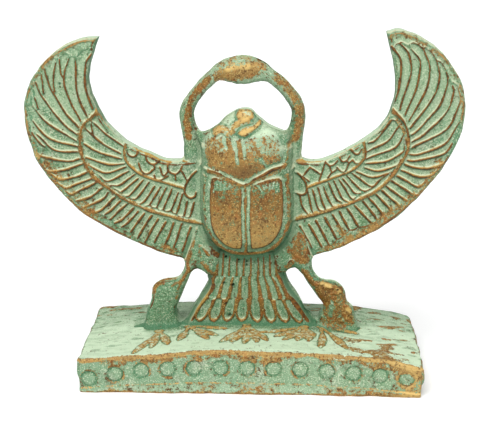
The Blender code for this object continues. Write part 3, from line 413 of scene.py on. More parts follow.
# Light and camera: each lamp's direction, spread in degrees and power; the view in degrees; the place
# that the camera looks at and how far away it is, in millimetres; and its lens
LIGHTS = (("key", (-0.25, -0.55, 1.0), 40, 2.3), ("fill", (0.6, -0.9, 0.7), 70, 0.6))
WORLD_LIGHT = 0.46
FLOOR_REACH, LAMP_AWAY = 40, 4
AZIMUTH, ELEVATION = 2.3, 16.0
LOOKED_AT = (3.4, 3.0, 76.3)
CAMERA_AWAY = 578
LENS, SENSOR_WIDTH = 87.62, 36.0


def smoothstep(low, high, value):
    """0 at the low value and 1 at the high one, smooth between; the low one may be the greater."""
    t = np.clip((value - low) / (high - low), 0, 1)
    return t * t * (3 - 2 * t)


def bell(value, middle, width):
    """1 at a middle value, falling off smoothly on both sides."""
    return np.exp(-((value - middle) / width) ** 2)


def soft_max(a, b, blend):
    """The greater of two fields, with a round corner where they meet."""
    near = np.clip(blend - np.abs(a - b), 0, None) / blend
    return np.maximum(a, b) + near * near * blend / 4


def quarter_round(t, radius):
    """How far a quarter circle falls away at a share of its run."""
    return radius * (1 - np.sqrt(np.clip(1 - t * t, 0, 1)))


def rounded(inside, radius):
    """How far a surface falls back near its outline to round the edge off."""
    t = np.clip(1 - inside / radius, 0, 1)
    return quarter_round(t, radius) + OUTSIDE_SLOPE * np.clip(-inside, 0, REACH)


def curve(points, count):
    """Points evenly spaced along the smooth curve through the given ones."""
    p = np.array(points, float)
    p = np.vstack([2 * p[0] - p[1], p, 2 * p[-1] - p[-2]])
    dense = []
    for i in range(1, len(p) - 2):
        a, b, c, d = p[i - 1:i + 3]
        for t in np.linspace(0, 1, 24, endpoint=False):
            dense.append(0.5 * (2 * b + (c - a) * t + (2 * a - 5 * b + 4 * c - d) * t ** 2
                                + (3 * b - a - 3 * c + d) * t ** 3))
    dense.append(p[-2])
    return even_points(np.array(dense), np.linspace(0, 1, count))


def even_points(line, shares):
    """The points that lie at the given shares of a line's length."""
    along = np.concatenate([[0], np.cumsum(np.linalg.norm(np.diff(line, axis=0), axis=1))])
    along /= along[-1]
    return np.column_stack([np.interp(shares, along, line[:, k]) for k in range(2)])


def bend(start, pull, end, count):
    """Points along the curve from a start to an end that leans towards a third point."""
    t = np.linspace(0, 1, count)[:, None]
    return (1 - t) ** 2 * start + 2 * (1 - t) * t * pull + t ** 2 * end


def placed(points, side=1, middle=0.0):
    """Hundredths of the span to millimetres, mirrored to a side and moved to a middle line."""
    p = np.atleast_2d(np.array(points, float))
    return np.column_stack([(side * p[:, 0] + middle) * UNIT, PLINTH_TOP + p[:, 1] * UNIT])


def half_width(outline, up):
    """Half the width of a shape at a height, from its half outline read upwards."""
    widths, heights = zip(*outline)
    return np.interp(up, heights, widths)


def plinth_share(x):
    """How far along the plinth's half length a place lies, with its sign."""
    return (x - PLINTH_SHIFT) / (PLINTH_LENGTH / 2)


def plinth_top(x):
    return PLINTH_TOP - END_DROP * plinth_share(x) ** 2


def strip_top(x):
    return STRIP_TOP - STRIP_DROP * plinth_share(x) ** 2


class Canvas:
    """A grid that fields are drawn on."""

    def __init__(self, low, high, step):
        self.step = step
        self.low = np.array(low, float)
        self.columns = np.arange(low[0], high[0] + step, step)
        self.rows = np.arange(low[1], high[1] + step, step)
        self.x, self.z = np.meshgrid(self.columns, self.rows)
        self.x = self.x + WANDER * self.noise(WANDER_SIZE, 101)
        self.z = self.z + WANDER * self.noise(WANDER_SIZE, 102)

    def blank(self, value=0.0):
        return np.full(self.x.shape, value)

    def window(self, points, reach):
        """The part of the grid that holds the points, with a reach round them."""
        spots = np.atleast_2d(points)
        reach += 4 * WANDER
        first = np.floor((spots.min(axis=0) - reach - self.low) / self.step).astype(int)
        last = np.ceil((spots.max(axis=0) + reach - self.low) / self.step).astype(int) + 1
        first = np.maximum(first, 0)
        return slice(first[1], max(last[1], first[1])), slice(first[0], max(last[0], first[0]))

    def signed(self, outline):
        """How far inside a closed outline each point lies; outside it is negative."""
        field = self.blank(-REACH)
        area = self.window(outline, REACH)
        x, z = self.x[area], self.z[area]
        nearest = np.full(x.shape, 1e9)
        inside = np.zeros(x.shape, bool)
        for a, b in zip(outline, np.roll(outline, -1, axis=0)):
            run = b - a
            t = np.clip(((x - a[0]) * run[0] + (z - a[1]) * run[1]) / max(run @ run, 1e-9), 0, 1)
            away = (x - a[0] - t * run[0]) ** 2 + (z - a[1] - t * run[1]) ** 2
            nearest = np.minimum(nearest, away)
            if a[1] != b[1]:
                crossing = (a[1] > z) != (b[1] > z)
                inside ^= crossing & (x < a[0] + (z - a[1]) * run[0] / run[1])
        field[area] = np.where(inside, 1, -1) * np.sqrt(nearest)
        return field

    def beside(self, a, b, reach):
        """The grid round a straight line: its area, the shares along the line, and the distances."""
        area = self.window([a, b], reach)
        x, z = self.x[area], self.z[area]
        run = b - a
        t = np.clip(((x - a[0]) * run[0] + (z - a[1]) * run[1]) / max(run @ run, 1e-9), 0, 1)
        return area, t, np.hypot(x - a[0] - t * run[0], z - a[1] - t * run[1])

    def stroke(self, field, line, half, rise=1.0, power=1.5):
        """Raise a field along a line, with a round ridge; half width and rise may vary along it."""
        half, rise = np.broadcast_to(half, len(line)), np.broadcast_to(rise, len(line))
        for i in range(len(line) - 1):
            area, t, away = self.beside(line[i], line[i + 1], max(half[i], half[i + 1]))
            away /= half[i] + t * (half[i + 1] - half[i])
            up = (rise[i] + t * (rise[i + 1] - rise[i])) * np.clip(1 - away ** 2, 0, 1) ** power
            field[area] = np.maximum(field[area], up)

    def line(self, line, half, rise=1.0, power=1.5):
        """A new field with one ridge on it."""
        field = self.blank()
        self.stroke(field, line, half, rise, power)
        return field

    def blur(self, field, size, stretch=1.0):
        """A field smoothed over a size, and over more of it across."""
        pad = int(math.ceil(3 * size * stretch / self.step))
        wide = np.pad(field, pad, mode="edge")
        fz = np.fft.fftfreq(wide.shape[0], self.step)[:, None]
        fx = np.fft.rfftfreq(wide.shape[1], self.step)[None, :]
        soft = np.exp(-2 * (math.pi * size) ** 2 * (fz ** 2 + (stretch * fx) ** 2))
        return np.fft.irfft2(np.fft.rfft2(wide) * soft, wide.shape)[pad:-pad, pad:-pad]

    def noise(self, size, seed, stretch=1.0):
        """Soft random hills of a size, about zero, with a spread of one; may be drawn out across."""
        rough = np.random.default_rng(seed).standard_normal(self.x.shape)
        soft = self.blur(rough, size, stretch)
        return soft / soft.std()

    def sample(self, field, spots):
        """A field read between the grid's points."""
        place = (spots - self.low) / self.step
        i = np.clip(place[:, 1].astype(int), 0, len(self.rows) - 2)
        j = np.clip(place[:, 0].astype(int), 0, len(self.columns) - 2)
        v, u = place[:, 1] - i, place[:, 0] - j
        return (field[i, j] * (1 - u) * (1 - v) + field[i, j + 1] * u * (1 - v)
                + field[i + 1, j] * (1 - u) * v + field[i + 1, j + 1] * u * v)

    def cut(self, inside, height):
        """Triangles that fill where a field is positive, trimmed along its zero line."""
        spots = np.column_stack([self.x.ravel(), self.z.ravel()])
        level = inside.ravel().copy()
        slope = np.column_stack([g.ravel() for g in np.gradient(inside, self.step)[::-1]])
        steep = np.maximum(np.linalg.norm(slope, axis=1), 1e-6)
        near = np.abs(level) < SNAP * self.step * steep
        spots[near] -= slope[near] * (level[near] / steep[near] ** 2)[:, None]
        level[near] = 0.0
        corners = self.corners(height.ravel())
        sign = np.sign(level[corners])
        lowest, highest = sign.min(axis=1), sign.max(axis=1)
        split = (lowest < 0) & (highest > 0)
        kept = [corners[(lowest >= 0) & (highest > 0)]]
        cuts = []

        def crossing(u, v):
            """A stand-in number, below zero, for the point where the line u-v is cut."""
            cuts.append(np.minimum(u, v) * len(level) + np.maximum(u, v))
            return -1 - cuts[-1]

        for pattern in ((1, -1, -1), (1, 1, -1), (1, 0, -1), (1, -1, 0)):
            for turn in range(3):
                match = (np.roll(sign[split], -turn, axis=1) == pattern).all(axis=1)
                p, q, r = np.roll(corners[split][match], -turn, axis=1).T
                if not len(p):
                    continue
                if pattern == (1, -1, -1):
                    kept.append(np.column_stack([p, crossing(p, q), crossing(p, r)]))
                elif pattern == (1, 1, -1):
                    kept.append(np.column_stack([p, q, crossing(q, r)]))
                    kept.append(np.column_stack([p, crossing(q, r), crossing(p, r)]))
                elif pattern == (1, 0, -1):
                    kept.append(np.column_stack([p, q, crossing(p, r)]))
                else:
                    kept.append(np.column_stack([p, crossing(p, q), r]))
        faces = np.vstack(kept)
        keys = np.unique(np.concatenate(cuts))
        u, v = keys // len(level), keys % len(level)
        share = (level[u] / (level[u] - level[v]))[:, None]
        spots = np.vstack([spots, spots[u] + (spots[v] - spots[u]) * share])
        new = faces < 0
        faces[new] = len(level) + np.searchsorted(keys, -1 - faces[new])
        used, faces = np.unique(faces, return_inverse=True)
        return spots[used], faces.reshape(-1, 3)

    def corners(self, height):
        """Two triangles for each square of the grid, parted along its flatter diagonal."""
        wide = len(self.columns)
        a = (np.arange(len(self.rows) - 1)[:, None] * wide + np.arange(wide - 1)).ravel()
        b, c, d = a + 1, a + wide + 1, a + wide
        turned = np.abs(height[a] - height[c]) > np.abs(height[b] - height[d])
        return np.vstack([np.column_stack([a, b, c])[~turned], np.column_stack([a, c, d])[~turned],
                          np.column_stack([a, b, d])[turned], np.column_stack([b, c, d])[turned]])


fig = Canvas((-105.0, 13.0), (105.3, 166.0), STEP)
top = Canvas((PLINTH_SHIFT - PLINTH_LENGTH / 2 - 2, -PLINTH_DEPTH / 2 - 2),
             (PLINTH_SHIFT + PLINTH_LENGTH / 2 + 2, PLINTH_DEPTH / 2 + 2), PLINTH_STEP)

# Where each point of the figure's canvas lies: up and across from the beetle's middle line in
# hundredths of the span, and above the plinth's top in millimetres
fig_up = (fig.z - PLINTH_TOP) / UNIT
fig_across = fig.x / UNIT - BODY_MIDDLE
fig_above = fig.z - plinth_top(fig.x)


class Part:
    """One form of the figure: how far inside its outline, its front height and a detail of it."""

    def __init__(self, inside, front, detail=None):
        self.inside = inside
        self.front = front
        self.detail = detail


def closed(points, count, side=1, middle=0.0):
    """How far inside the smooth closed line through points each place of the figure lies."""
    return fig.signed(placed(curve(points, count)[:-1], side, middle))


def line_of(points, count, half, rise=1.0, power=1.5):
    """A field with one ridge along the smooth line through points."""
    return fig.line(placed(curve(points, count)), half, rise, power)


def wing(sheet, side):
    """One wing: slab, worn rim, ribs, long and short feathers, scales and shoulder."""
    def edge(name, count):
        return placed(curve(sheet[name], count), side)

    outer, inner = edge("outer", 130), edge("inner", 100)
    inside = fig.signed(np.vstack([outer, inner[::-1]]))
    ridges, beads = fig.blank(), fig.blank()
    outer_rib = edge("outer_rib", 80)
    along = np.linspace(0, 1, len(outer_rib))
    beaded = RIB_HALF + 0.3 * np.sin(37 * along) + 0.15 * np.sin(83 * along)
    fig.stroke(beads, outer_rib, beaded, RIB_RISE)
    fig.stroke(beads, edge("inner_rib", 40), 0.9, RIB_RISE * 0.85)
    leading = edge("leading", 24)
    fig.stroke(ridges, leading, RIDGE_HALF * 1.1, RIDGE_RISE)
    fig.stroke(beads, edge("shoulder", 26), RIDGE_HALF, RIDGE_RISE)

    long_ends = crests(ridges, sheet["long"], side, RIDGE_HALF, -1)
    long_ends.append((leading[-4], leading[-1] - leading[-5]))
    place = [np.linalg.norm(outer - end, axis=1).argmin() for end, _ in long_ends]
    order = np.argsort(place)
    for first, second in zip(order, order[1:]):
        pointed = np.interp(place[first], [8, 40, 70], [0.62, 0.5, 0.28])
        rise = np.interp(place[first], [40, 60], [0.6 if side > 0 else 0.4, 0.28]) * RIDGE_RISE
        arch(ridges, long_ends[first], long_ends[second], pointed, RIDGE_HALF * 0.9, rise)
    short_ends = crests(ridges, sheet["short"], side, RIDGE_HALF * 0.88, 0)
    for first, second in zip(short_ends, short_ends[1:]):
        arch(ridges, first, second, 0.3, RIDGE_HALF * 0.75, RIDGE_RISE * 0.8)
    for shape in sheet["scales"]:
        fig.stroke(ridges, placed(curve(shape, 12), side), RIDGE_HALF * 0.85, RIDGE_RISE * 0.85)

    worn = RIM_RISE * smoothstep(0.9, 0, np.abs(inside - EDGE))
    drop = smoothstep(PLINTH_TOP + 24 * UNIT, PLINTH_TOP + 19 * UNIT, fig.z)
    relief = np.maximum(ridges, beads) + 0.30 * skirt(ridges, beads)
    return Part(inside, WING_FRONT + np.maximum(relief, worn * (1 - 0.4 * drop)))


def crests(field, rows, side, half, last):
    """Feather ridges of uneven width; the outer end of each, at the given index, and its direction."""
    ends = []
    along = np.linspace(0, 1, FEATHER_POINTS)
    for k, row in enumerate(rows):
        line = placed(curve(row, FEATHER_POINTS), side)
        wander = 1 + 0.16 * np.sin(np.linspace(0, 9, FEATHER_POINTS) + 2.3 * k) - 0.25 * along ** 6
        fig.stroke(field, line, half * wander, RIDGE_RISE * (1 + 0.12 * math.sin(5.1 * k)))
        ends.append((line[last], line[last] - line[last + (1 if last == 0 else -1)]))
    return ends


def arch(field, first, second, height, half, rise):
    """The end of a feather: a ridge that joins the outer ends of its two sides."""
    (a, way_a), (b, way_b) = first, second
    gap = np.linalg.norm(b - a)
    if gap > WIDEST_FEATHER:
        return
    way = way_a / np.linalg.norm(way_a) + way_b / np.linalg.norm(way_b)
    apex = (a + b) / 2 + way / np.linalg.norm(way) * gap * height
    for end, out in ((a, way_a), (b, way_b)):
        pull = end + out / np.linalg.norm(out) * gap * height * 0.8
        fig.stroke(field, bend(end, pull, apex, 8), half, rise)


def skirt(*layers):
    """Feathers are hollowed a little between their ridges: a soft rise near each ridge."""
    near = sum(smoothstep(0.0, 0.5, layer) for layer in layers)
    return np.clip(fig.blur(near, 0.7) * 1.6, 0, 1)


def body_outline():
    """The beetle's outline: both sides up to the breast plate, then the head's own line."""
    right = np.array(BODY_HALF[:8])
    left = right[:0:-1] * (-1, 1)
    shift = (BODY_MIDDLE, 0)
    return np.vstack([right + shift, HEAD_TOP, left + shift, [right[0] + shift]])


def wing_case(side):
    return closed(CASE_PANEL, 60, side, BODY_MIDDLE)


def beetle():
    """Wing cases, breast plate and head."""
    share = np.clip(np.abs(fig_across) / np.maximum(half_width(BODY_HALF, fig_up), 1.5), 0, 1)
    front = BODY_FRONT + BODY_DEPTH * np.interp(fig_up, SWELL_AT, SWELL_IS) * (1 - share ** 2.6) ** 0.5
    for side in (1, -1):
        panel = wing_case(side)
        front += 0.55 * smoothstep(-0.3, 0.8, panel) - 0.35 * smoothstep(-2.4, -1.4, panel) \
            * smoothstep(0.2, -0.4, panel)
    lines = line_of(CASE_RIM, 60, 0.95, 0.75)
    fig.stroke(lines, placed(CASE_SEAM), 0.95, 0.65)
    fig.stroke(lines, placed(curve(VEE, 50)), 1.5, 1.2)
    front += lines

    plate = closed(PLATE, 70)
    front += 0.9 * smoothstep(-0.6, 2.6, plate) + 0.6 * smoothstep(0, 7, plate)
    for streak, much in STREAKS:
        front += line_of(streak, 10, 1.1, 0.32) * math.copysign(1, much)
    front += 1.5 * smoothstep(-0.3, 1.4, closed(LEAF, 50))
    front += 1.1 * smoothstep(-0.2, 1.6, closed(KNOB, 40))
    front += line_of(RIBBON, 30, 1.1, 1.2)
    return Part(closed(body_outline(), 160), front)


def loop():
    """The loop over the head, a round bar that swells to the oval sun; its detail is how round it is."""
    line = placed(curve(RING_LINE, 120))
    widths = RING_HALF * np.interp(np.linspace(0, 1, len(line)), RING_AT, RING_IS)
    bar, half = fig.blank(-REACH), fig.blank(RING_HALF)
    for i in range(len(line) - 1):
        area, t, away = fig.beside(line[i], line[i + 1], 12)
        wide = widths[i] + t * (widths[i + 1] - widths[i])
        nearer = wide - away > bar[area]
        bar[area] = np.where(nearer, wide - away, bar[area])
        half[area] = np.where(nearer, wide, half[area])
    x = (fig.x / UNIT - SUN_PLACE[0]) / SUN_HALF[0]
    z = (fig_up - SUN_PLACE[1]) / SUN_HALF[1]
    sun = np.maximum((1 - np.hypot(x, z)) * SUN_HALF[1] * UNIT, -REACH)
    inside = soft_max(bar, sun, BLEND)
    in_sun = smoothstep(-2.0, 3.0, sun)
    half += (SUN_HALF[1] * UNIT - half) * in_sun
    round_off = (1 - np.clip(1 - inside / half, 0, 1) ** 2.4) ** 0.5 * (1 + 0.25 * in_sun)
    return Part(inside, RING_MIDDLE + RING_DEPTH * round_off, round_off)


def tail():
    """The fan of the tail: raised bars, its detail, round three tiers of sunken, round-ended cells."""
    left = placed(curve(TAIL_LEFT, 40) * (-1, 1), 1, BODY_MIDDLE)
    right = placed(curve(TAIL_RIGHT, 40), 1, BODY_MIDDLE)
    inside = fig.signed(np.vstack([left, right[::-1]]))
    cells = fig.blank(-REACH)
    for high, low, shares, narrow, wide in TAIL_TIERS:
        for first, second in zip(shares, shares[1:]):
            corners = [tail_spot(first, high) + (narrow, 0), tail_spot(first, low) + (wide, 0),
                       tail_spot(second, low) - (wide, 0), tail_spot(second, high) - (narrow, 0)]
            drop = (corners[1] + corners[2]) / 2 - (0, 1.5)
            end = bend(corners[1], corners[1] - (0, 1.4), drop, 5)
            far_end = bend(drop, corners[2] - (0, 1.4), corners[2], 5)
            cells = np.maximum(cells, fig.signed(np.vstack([corners[0], end, far_end, corners[3]])))
    shares, halves = np.array(PETAL_SHAPE).T
    for top_share, low_share in PETALS:
        high, low = tail_spot(top_share, PETAL_SPAN[0]), tail_spot(low_share, PETAL_SPAN[1])
        t = np.linspace(0, 1, 16)
        spine = high + (low - high) * t[:, None]
        half = PETAL_WIDE * np.interp(t, shares, halves)[:, None] * (1, 0)
        cells = np.maximum(cells, fig.signed(np.vstack([spine - half, (spine + half)[::-1]])))
    below = np.where(fig_up > 3.2, 1, smoothstep(-1.5, -0.9, cells))
    bars = smoothstep(0.25, -0.5, cells) * below * smoothstep(1.6, 2.8, inside) \
        * smoothstep(-0.6, 0.4, fig_up)
    bars *= smoothstep(18.4, 17.0, fig_up)
    face = UNIT * half_width(TAIL_FACE, fig_up)
    bars *= smoothstep(face + 0.4, face - 0.4, np.abs(fig.x - BODY_MIDDLE * UNIT))
    sides = 3.4 * smoothstep(2.7, 0.2, inside)
    return Part(inside, TAIL_FRONT + BAR_RISE * bars - sides, bars)


def tail_spot(share, up):
    """A place on the fan's face: a share of its half width at a height."""
    return placed([(BODY_MIDDLE + share * half_width(TAIL_FACE, up), up)])[0]


def foot(outline, side, centre):
    """One foreleg and its foot, rounded, with a spiral on the foot."""
    inside = fig.signed(placed(curve(outline, 90), side))
    front = LEG_FRONT - 1.0 + 2.2 * np.sqrt(np.clip(inside / LEG_ROUND, 0, 1))
    front -= 3.2 * smoothstep(17.5, 26.0, fig_up)
    middle = placed([centre], side)[0]
    dx, dz = fig.x - middle[0], fig.z - middle[1]
    far = np.hypot(dx, dz)
    turn = np.arctan2(dz, dx) / math.tau
    spiral = 0.5 + 0.5 * np.cos(math.tau * (far / SPIRAL_PITCH - side * turn))
    front += SPIRAL_RISE * (spiral - 0.3) * smoothstep(SPIRAL_OUTER, SPIRAL_FULL, far)
    return Part(inside, front)


def base():
    """What joins the figure to the plinth: nothing but soft corners shows above the plinth."""
    inside = np.minimum(-fig_above, BASE_HALF - np.abs(fig.x - PLINTH_SHIFT))
    return Part(np.clip(inside, -REACH, REACH), fig.blank(BASE_FRONT))


def figure():
    """The figure's parts by name, outline, front without and with rounded edges, back and pits."""
    parts = {"left_wing": wing(LEFT_WING, -1), "right_wing": wing(RIGHT_WING, 1), "tail": tail(),
             "left_foot": foot(LEFT_FOOT, -1, LEFT_SPIRAL),
             "right_foot": foot(RIGHT_FOOT, 1, RIGHT_SPIRAL),
             "beetle": beetle(), "loop": loop(), "base": base()}
    inside = parts["left_wing"].inside
    for part in list(parts.values())[1:]:
        inside = soft_max(inside, part.inside, BLEND)
    inside += 0.10 * fig.noise(2.2, 3) + 0.05 * fig.noise(0.9, 4)
    grown = inside - np.max([part.inside for part in parts.values()], axis=0)
    flat, front = fig.blank(FAR_BACK), fig.blank(FAR_BACK)
    for part in parts.values():
        own = part.inside + grown
        flat = np.maximum(flat, part.front - OUTSIDE_SLOPE * np.clip(-own, 0, REACH))
        front = soft_max(front, part.front - rounded(own, EDGE), PART_BLEND)
    folds = fig.blank()
    for points, half, rise in FOLDS:
        fig.stroke(folds, placed(curve(points, 24)), half, rise)
    flat += folds
    front += folds
    fillet = quarter_round(1 - np.clip(fig_above / FILLET, 0, 1), FILLET)
    front += fillet
    front += 0.10 * fig.noise(4.0, 5) + 0.035 * fig.noise(0.8, 6)
    pits = fig.blank()
    for across, high, half in PITS:
        spot = placed([(across, high)])
        fig.stroke(pits, np.vstack([spot, spot + (0.2, 0.1)]), half * 1.3)
    front -= PIT_DEPTH * pits
    back = figure_back(parts, inside, flat) + (fillet + 0.12 * fig.noise(5.0, 8) + 0.03 * fig.noise(0.8, 9))
    front = np.maximum(front, THINNEST - back)
    return parts, inside, flat, front, back, pits


def figure_back(parts, inside, flat):
    """The back: a faint echo of the front, a hump behind the beetle, thinned at the head and feet."""
    hump = 1.2 * np.sqrt(np.clip(parts["beetle"].inside / 18, 0, 1))
    back = BACK - 0.9 + 0.45 * np.clip(fig.blur(flat - fig.blur(flat, 2.0), 0.5), -0.6, 1) + hump
    solid = np.max([parts[name].inside for name in ("left_wing", "right_wing", "beetle")], axis=0)
    on_loop = smoothstep(0.8, -0.8, solid) * smoothstep(-1.5, 0.2, parts["loop"].inside)
    loop_back = -RING_MIDDLE + RING_DEPTH * parts["loop"].detail
    back = back * (1 - on_loop) + loop_back * on_loop
    head = smoothstep(44.5, 47.0, fig_up) * smoothstep(12.0, 10.5, np.abs(fig_across))
    feet = smoothstep(1.5, 4.0, fig_up) * smoothstep(17.5, 13.5, fig_up) \
        * smoothstep(12, 15, np.abs(fig.x / UNIT))
    back -= (1 - on_loop) * (HEAD_THINNED * head + FEET_THINNED * feet) * smoothstep(6.5, 0.5, inside)
    return back - rounded(inside, EDGE) * (1 - on_loop)


def painted(parts, inside, flat, pits):
    """The front's colours: how worn, browned and golden, and how dark or pale each place is; painted light
    is in the first and the last.
    """
    shape = np.clip(inside / 0.5, 0, 1)
    plate = closed(PLATE, 70)
    on_loop = smoothstep(-0.6, 0.4, parts["loop"].inside) * (fig_up > LOOP_FROM)
    legs = smoothstep(0, 1, np.maximum(parts["left_foot"].inside, parts["right_foot"].inside)) \
        * smoothstep(26, 22, fig_up)
    fan = smoothstep(0, 1.5, parts["tail"].inside) * smoothstep(17, 14, fig_up)
    wear = worn(parts, inside, above_average(flat, shape, 1.1), plate, on_loop, legs)
    patina_shade_and_sheen = hollows_shade_and_sheen(parts, inside, above_average(flat, shape, 3.0), plate, on_loop, legs, fan)
    brown = 0.95 * parts["tail"].detail * fan * (0.75 + 0.25 * smoothstep(17, 9, fig_up)) + 0.2 * on_loop
    gold = fig.blank()
    paint_cases(brown, gold, patina_shade_and_sheen)
    paint_plate(brown, gold, patina_shade_and_sheen, plate)
    paint_head(brown, gold, patina_shade_and_sheen)
    paint_patches(brown, gold)
    # The pits are made near black: painted shade in them.
    patina_shade_and_sheen = np.minimum(patina_shade_and_sheen, 1.0) + 2.0 * pits
    return np.clip(wear, -1, 1), np.clip(brown, -1, 1.1), np.clip(gold, 0, 1), np.clip(patina_shade_and_sheen, -1, 2)


def above_average(flat, shape, size):
    """How far the surface stands above the average round it, within the outline."""
    return flat - fig.blur(flat * shape, size) / np.maximum(fig.blur(shape, size), 0.05)


def worn(parts, inside, proud, plate, on_loop, legs):
    """Where the ridges are rubbed bare; below zero are the pale lines beside them, a painted highlight."""
    wear = np.clip(proud / 0.42, -1, 1) * smoothstep(-0.2, 0.4, inside)
    calm = np.maximum(0.85 * on_loop, 0.8 * smoothstep(-2.4, -0.4, plate) * smoothstep(42, 44, fig_up))
    wear *= (1 - calm) * smoothstep(0.6, 3.0, fig_above)
    flank = smoothstep(0.80, 0.90, np.abs(fig_across) / np.maximum(half_width(BODY_HALF, fig_up), 1))
    wear *= 1 - 0.9 * flank * smoothstep(-1.5, -0.5, parts["beetle"].inside) * smoothstep(20, 22, fig_up)
    wear *= 1 - 0.7 * smoothstep(0, 1, parts["left_foot"].inside) * smoothstep(11, 9, fig_up)
    wear *= 1 - 0.5 * legs
    wear += 0.28 * smoothstep(42, 26, fig_up) * smoothstep(0.12, 0.3, wear) * (1 - legs)
    return wear - 0.22 * smoothstep(40, 56, fig_up)


def hollows_shade_and_sheen(parts, inside, broad, plate, on_loop, legs, fan):
    """Where dark green gathers, as patina with painted shade in the hollows and at the figure's foot; below
    zero is a pale coat on what stands free, partly painted highlight.
    """
    in_beetle = parts["beetle"].inside
    # Darker in the hollows: patina that gathers there, with painted shade.
    patina_shade_and_sheen = smoothstep(-0.1, -1.5, broad) * smoothstep(-0.2, 1.0, inside)
    patina_shade_and_sheen *= 1 - 0.75 * smoothstep(-9, -5, in_beetle) * smoothstep(18, 22, fig_up)
    patina_shade_and_sheen *= 1 - 0.8 * on_loop
    patina_shade_and_sheen -= 0.35 * on_loop * smoothstep(50, 58, fig_up)
    patina_shade_and_sheen += 0.28 * fan * (1 - parts["tail"].detail) \
        + 0.35 * smoothstep(9, 3, fig_up) * smoothstep(14, 17, -fig_across)
    whole = np.max([part.inside for name, part in parts.items() if name != "base"], axis=0)
    close_by = smoothstep(-8, -3, whole)
    # Painted shade on the figure's foot where it meets the plinth; paler further out.
    patina_shade_and_sheen += 0.7 * close_by * smoothstep(2.4, 0.2, fig_above) - 0.3 * (1 - close_by)
    patina_shade_and_sheen += 0.3 * legs * smoothstep(0, 14, fig_up) * (1 + 0.4 * (fig_across > 0))
    patina_shade_and_sheen -= 0.7 * smoothstep(45, 48, fig_up) * smoothstep(0, 1, in_beetle)
    patina_shade_and_sheen -= 0.4 * smoothstep(-0.6, 1.0, plate) * smoothstep(40, 43, fig_up)
    # More painted shade in the webs and fillets between the parts, low by the plinth.
    patina_shade_and_sheen += 0.6 * close_by * smoothstep(0.5, -1.5, whole) * smoothstep(9, 4, fig_above)
    return patina_shade_and_sheen


def paint_cases(brown, gold, patina_shade_and_sheen):
    """Brown wing cases, greener towards their tops."""
    for side in (1, -1):
        panel = smoothstep(0.1, 1.2, wing_case(side))
        brown += panel * (0.84 - 0.40 * smoothstep(30.5, 36.0, fig_up))
        gold += 0.3 * panel * smoothstep(32, 22, fig_up)
        patina_shade_and_sheen += 0.5 * panel * smoothstep(27, 33, fig_up)


def paint_plate(brown, gold, patina_shade_and_sheen, plate):
    """The breast plate, its streaks, and the pale scratches on the wing cases below it."""
    on_plate = smoothstep(-0.6, 3.0, plate)
    brown += on_plate * (0.47 + 0.46 * smoothstep(45, 38, fig_up + 0.35 * fig_across))
    gold += 0.15 * on_plate
    patina_shade_and_sheen += 0.75 * on_plate * smoothstep(43, 38.5, fig_up) * smoothstep(8, 2, np.abs(fig_across))
    for streak, much in STREAKS:
        brown += line_of(streak, 10, 1.2) * much
    for centre, turns in SCRATCHES:
        mark = fig.blank()
        for k, turn in enumerate(np.radians(turns)):
            way = np.array([math.sin(turn), math.cos(turn)])
            start = np.array(centre) + way * (SCRATCH_FROM + 0.3 * (k % 3))
            fig.stroke(mark, placed([start, np.array(centre) + way * SCRATCH_TO]), 0.6)
        brown -= 0.75 * mark
        patina_shade_and_sheen -= 0.9 * mark


def paint_head(brown, gold, patina_shade_and_sheen):
    """The leaf and the knob on the head, and the ribbon between them, each with a dark rim."""
    for outline, much in ((LEAF, 0.9), (KNOB, 0.75)):
        level = closed(outline, 50)
        shape = smoothstep(-0.2, 0.6, level)
        brown += shape * 0.62 + 0.3 * smoothstep(0.9, 0.3, level) * shape
        gold += shape * much * smoothstep(0.0, 1.0, level)
        patina_shade_and_sheen += 1.2 * smoothstep(-1.3, -0.5, level) * (1 - shape)
    mark = line_of(RIBBON, 30, 2.4, power=0.7)
    core = smoothstep(0.5, 0.8, mark)
    brown += 0.65 * core
    gold += 0.7 * smoothstep(0.7, 0.9, mark)
    patina_shade_and_sheen += 1.1 * smoothstep(0.1, 0.5, mark) * (1 - core)


def paint_patches(brown, gold):
    for points, half, much, shine in PATCHES:
        mark = line_of(points, 20, half, power=0.8)
        brown += much * mark
        gold += shine * mark


def edges_of(faces):
    return np.vstack([faces[:, [0, 1]], faces[:, [1, 2]], faces[:, [2, 0]]])


def open_edges(faces):
    """Edges that only one triangle uses, in the direction in which it uses them."""
    edges = edges_of(faces)
    most = edges.max() + 1
    forward = edges[:, 0] * most + edges[:, 1]
    backward = edges[:, 1] * most + edges[:, 0]
    return edges[~np.isin(forward, backward)]


def outward(canvas, inside, spots):
    """Unit directions that lead out of a field at its edge."""
    gz, gx = np.gradient(inside, canvas.step)
    out = -np.column_stack([canvas.sample(gx, spots), canvas.sample(gz, spots)])
    return out / np.maximum(np.linalg.norm(out, axis=1), 1e-6)[:, None]


def vertex_normals(places, faces):
    a, b, c = places[faces[:, 0]], places[faces[:, 1]], places[faces[:, 2]]
    face = np.cross(b - a, c - a)
    total = np.zeros_like(places)
    for k in range(3):
        np.add.at(total, faces[:, k], face)
    return total / np.maximum(np.linalg.norm(total, axis=1), 1e-12)[:, None]


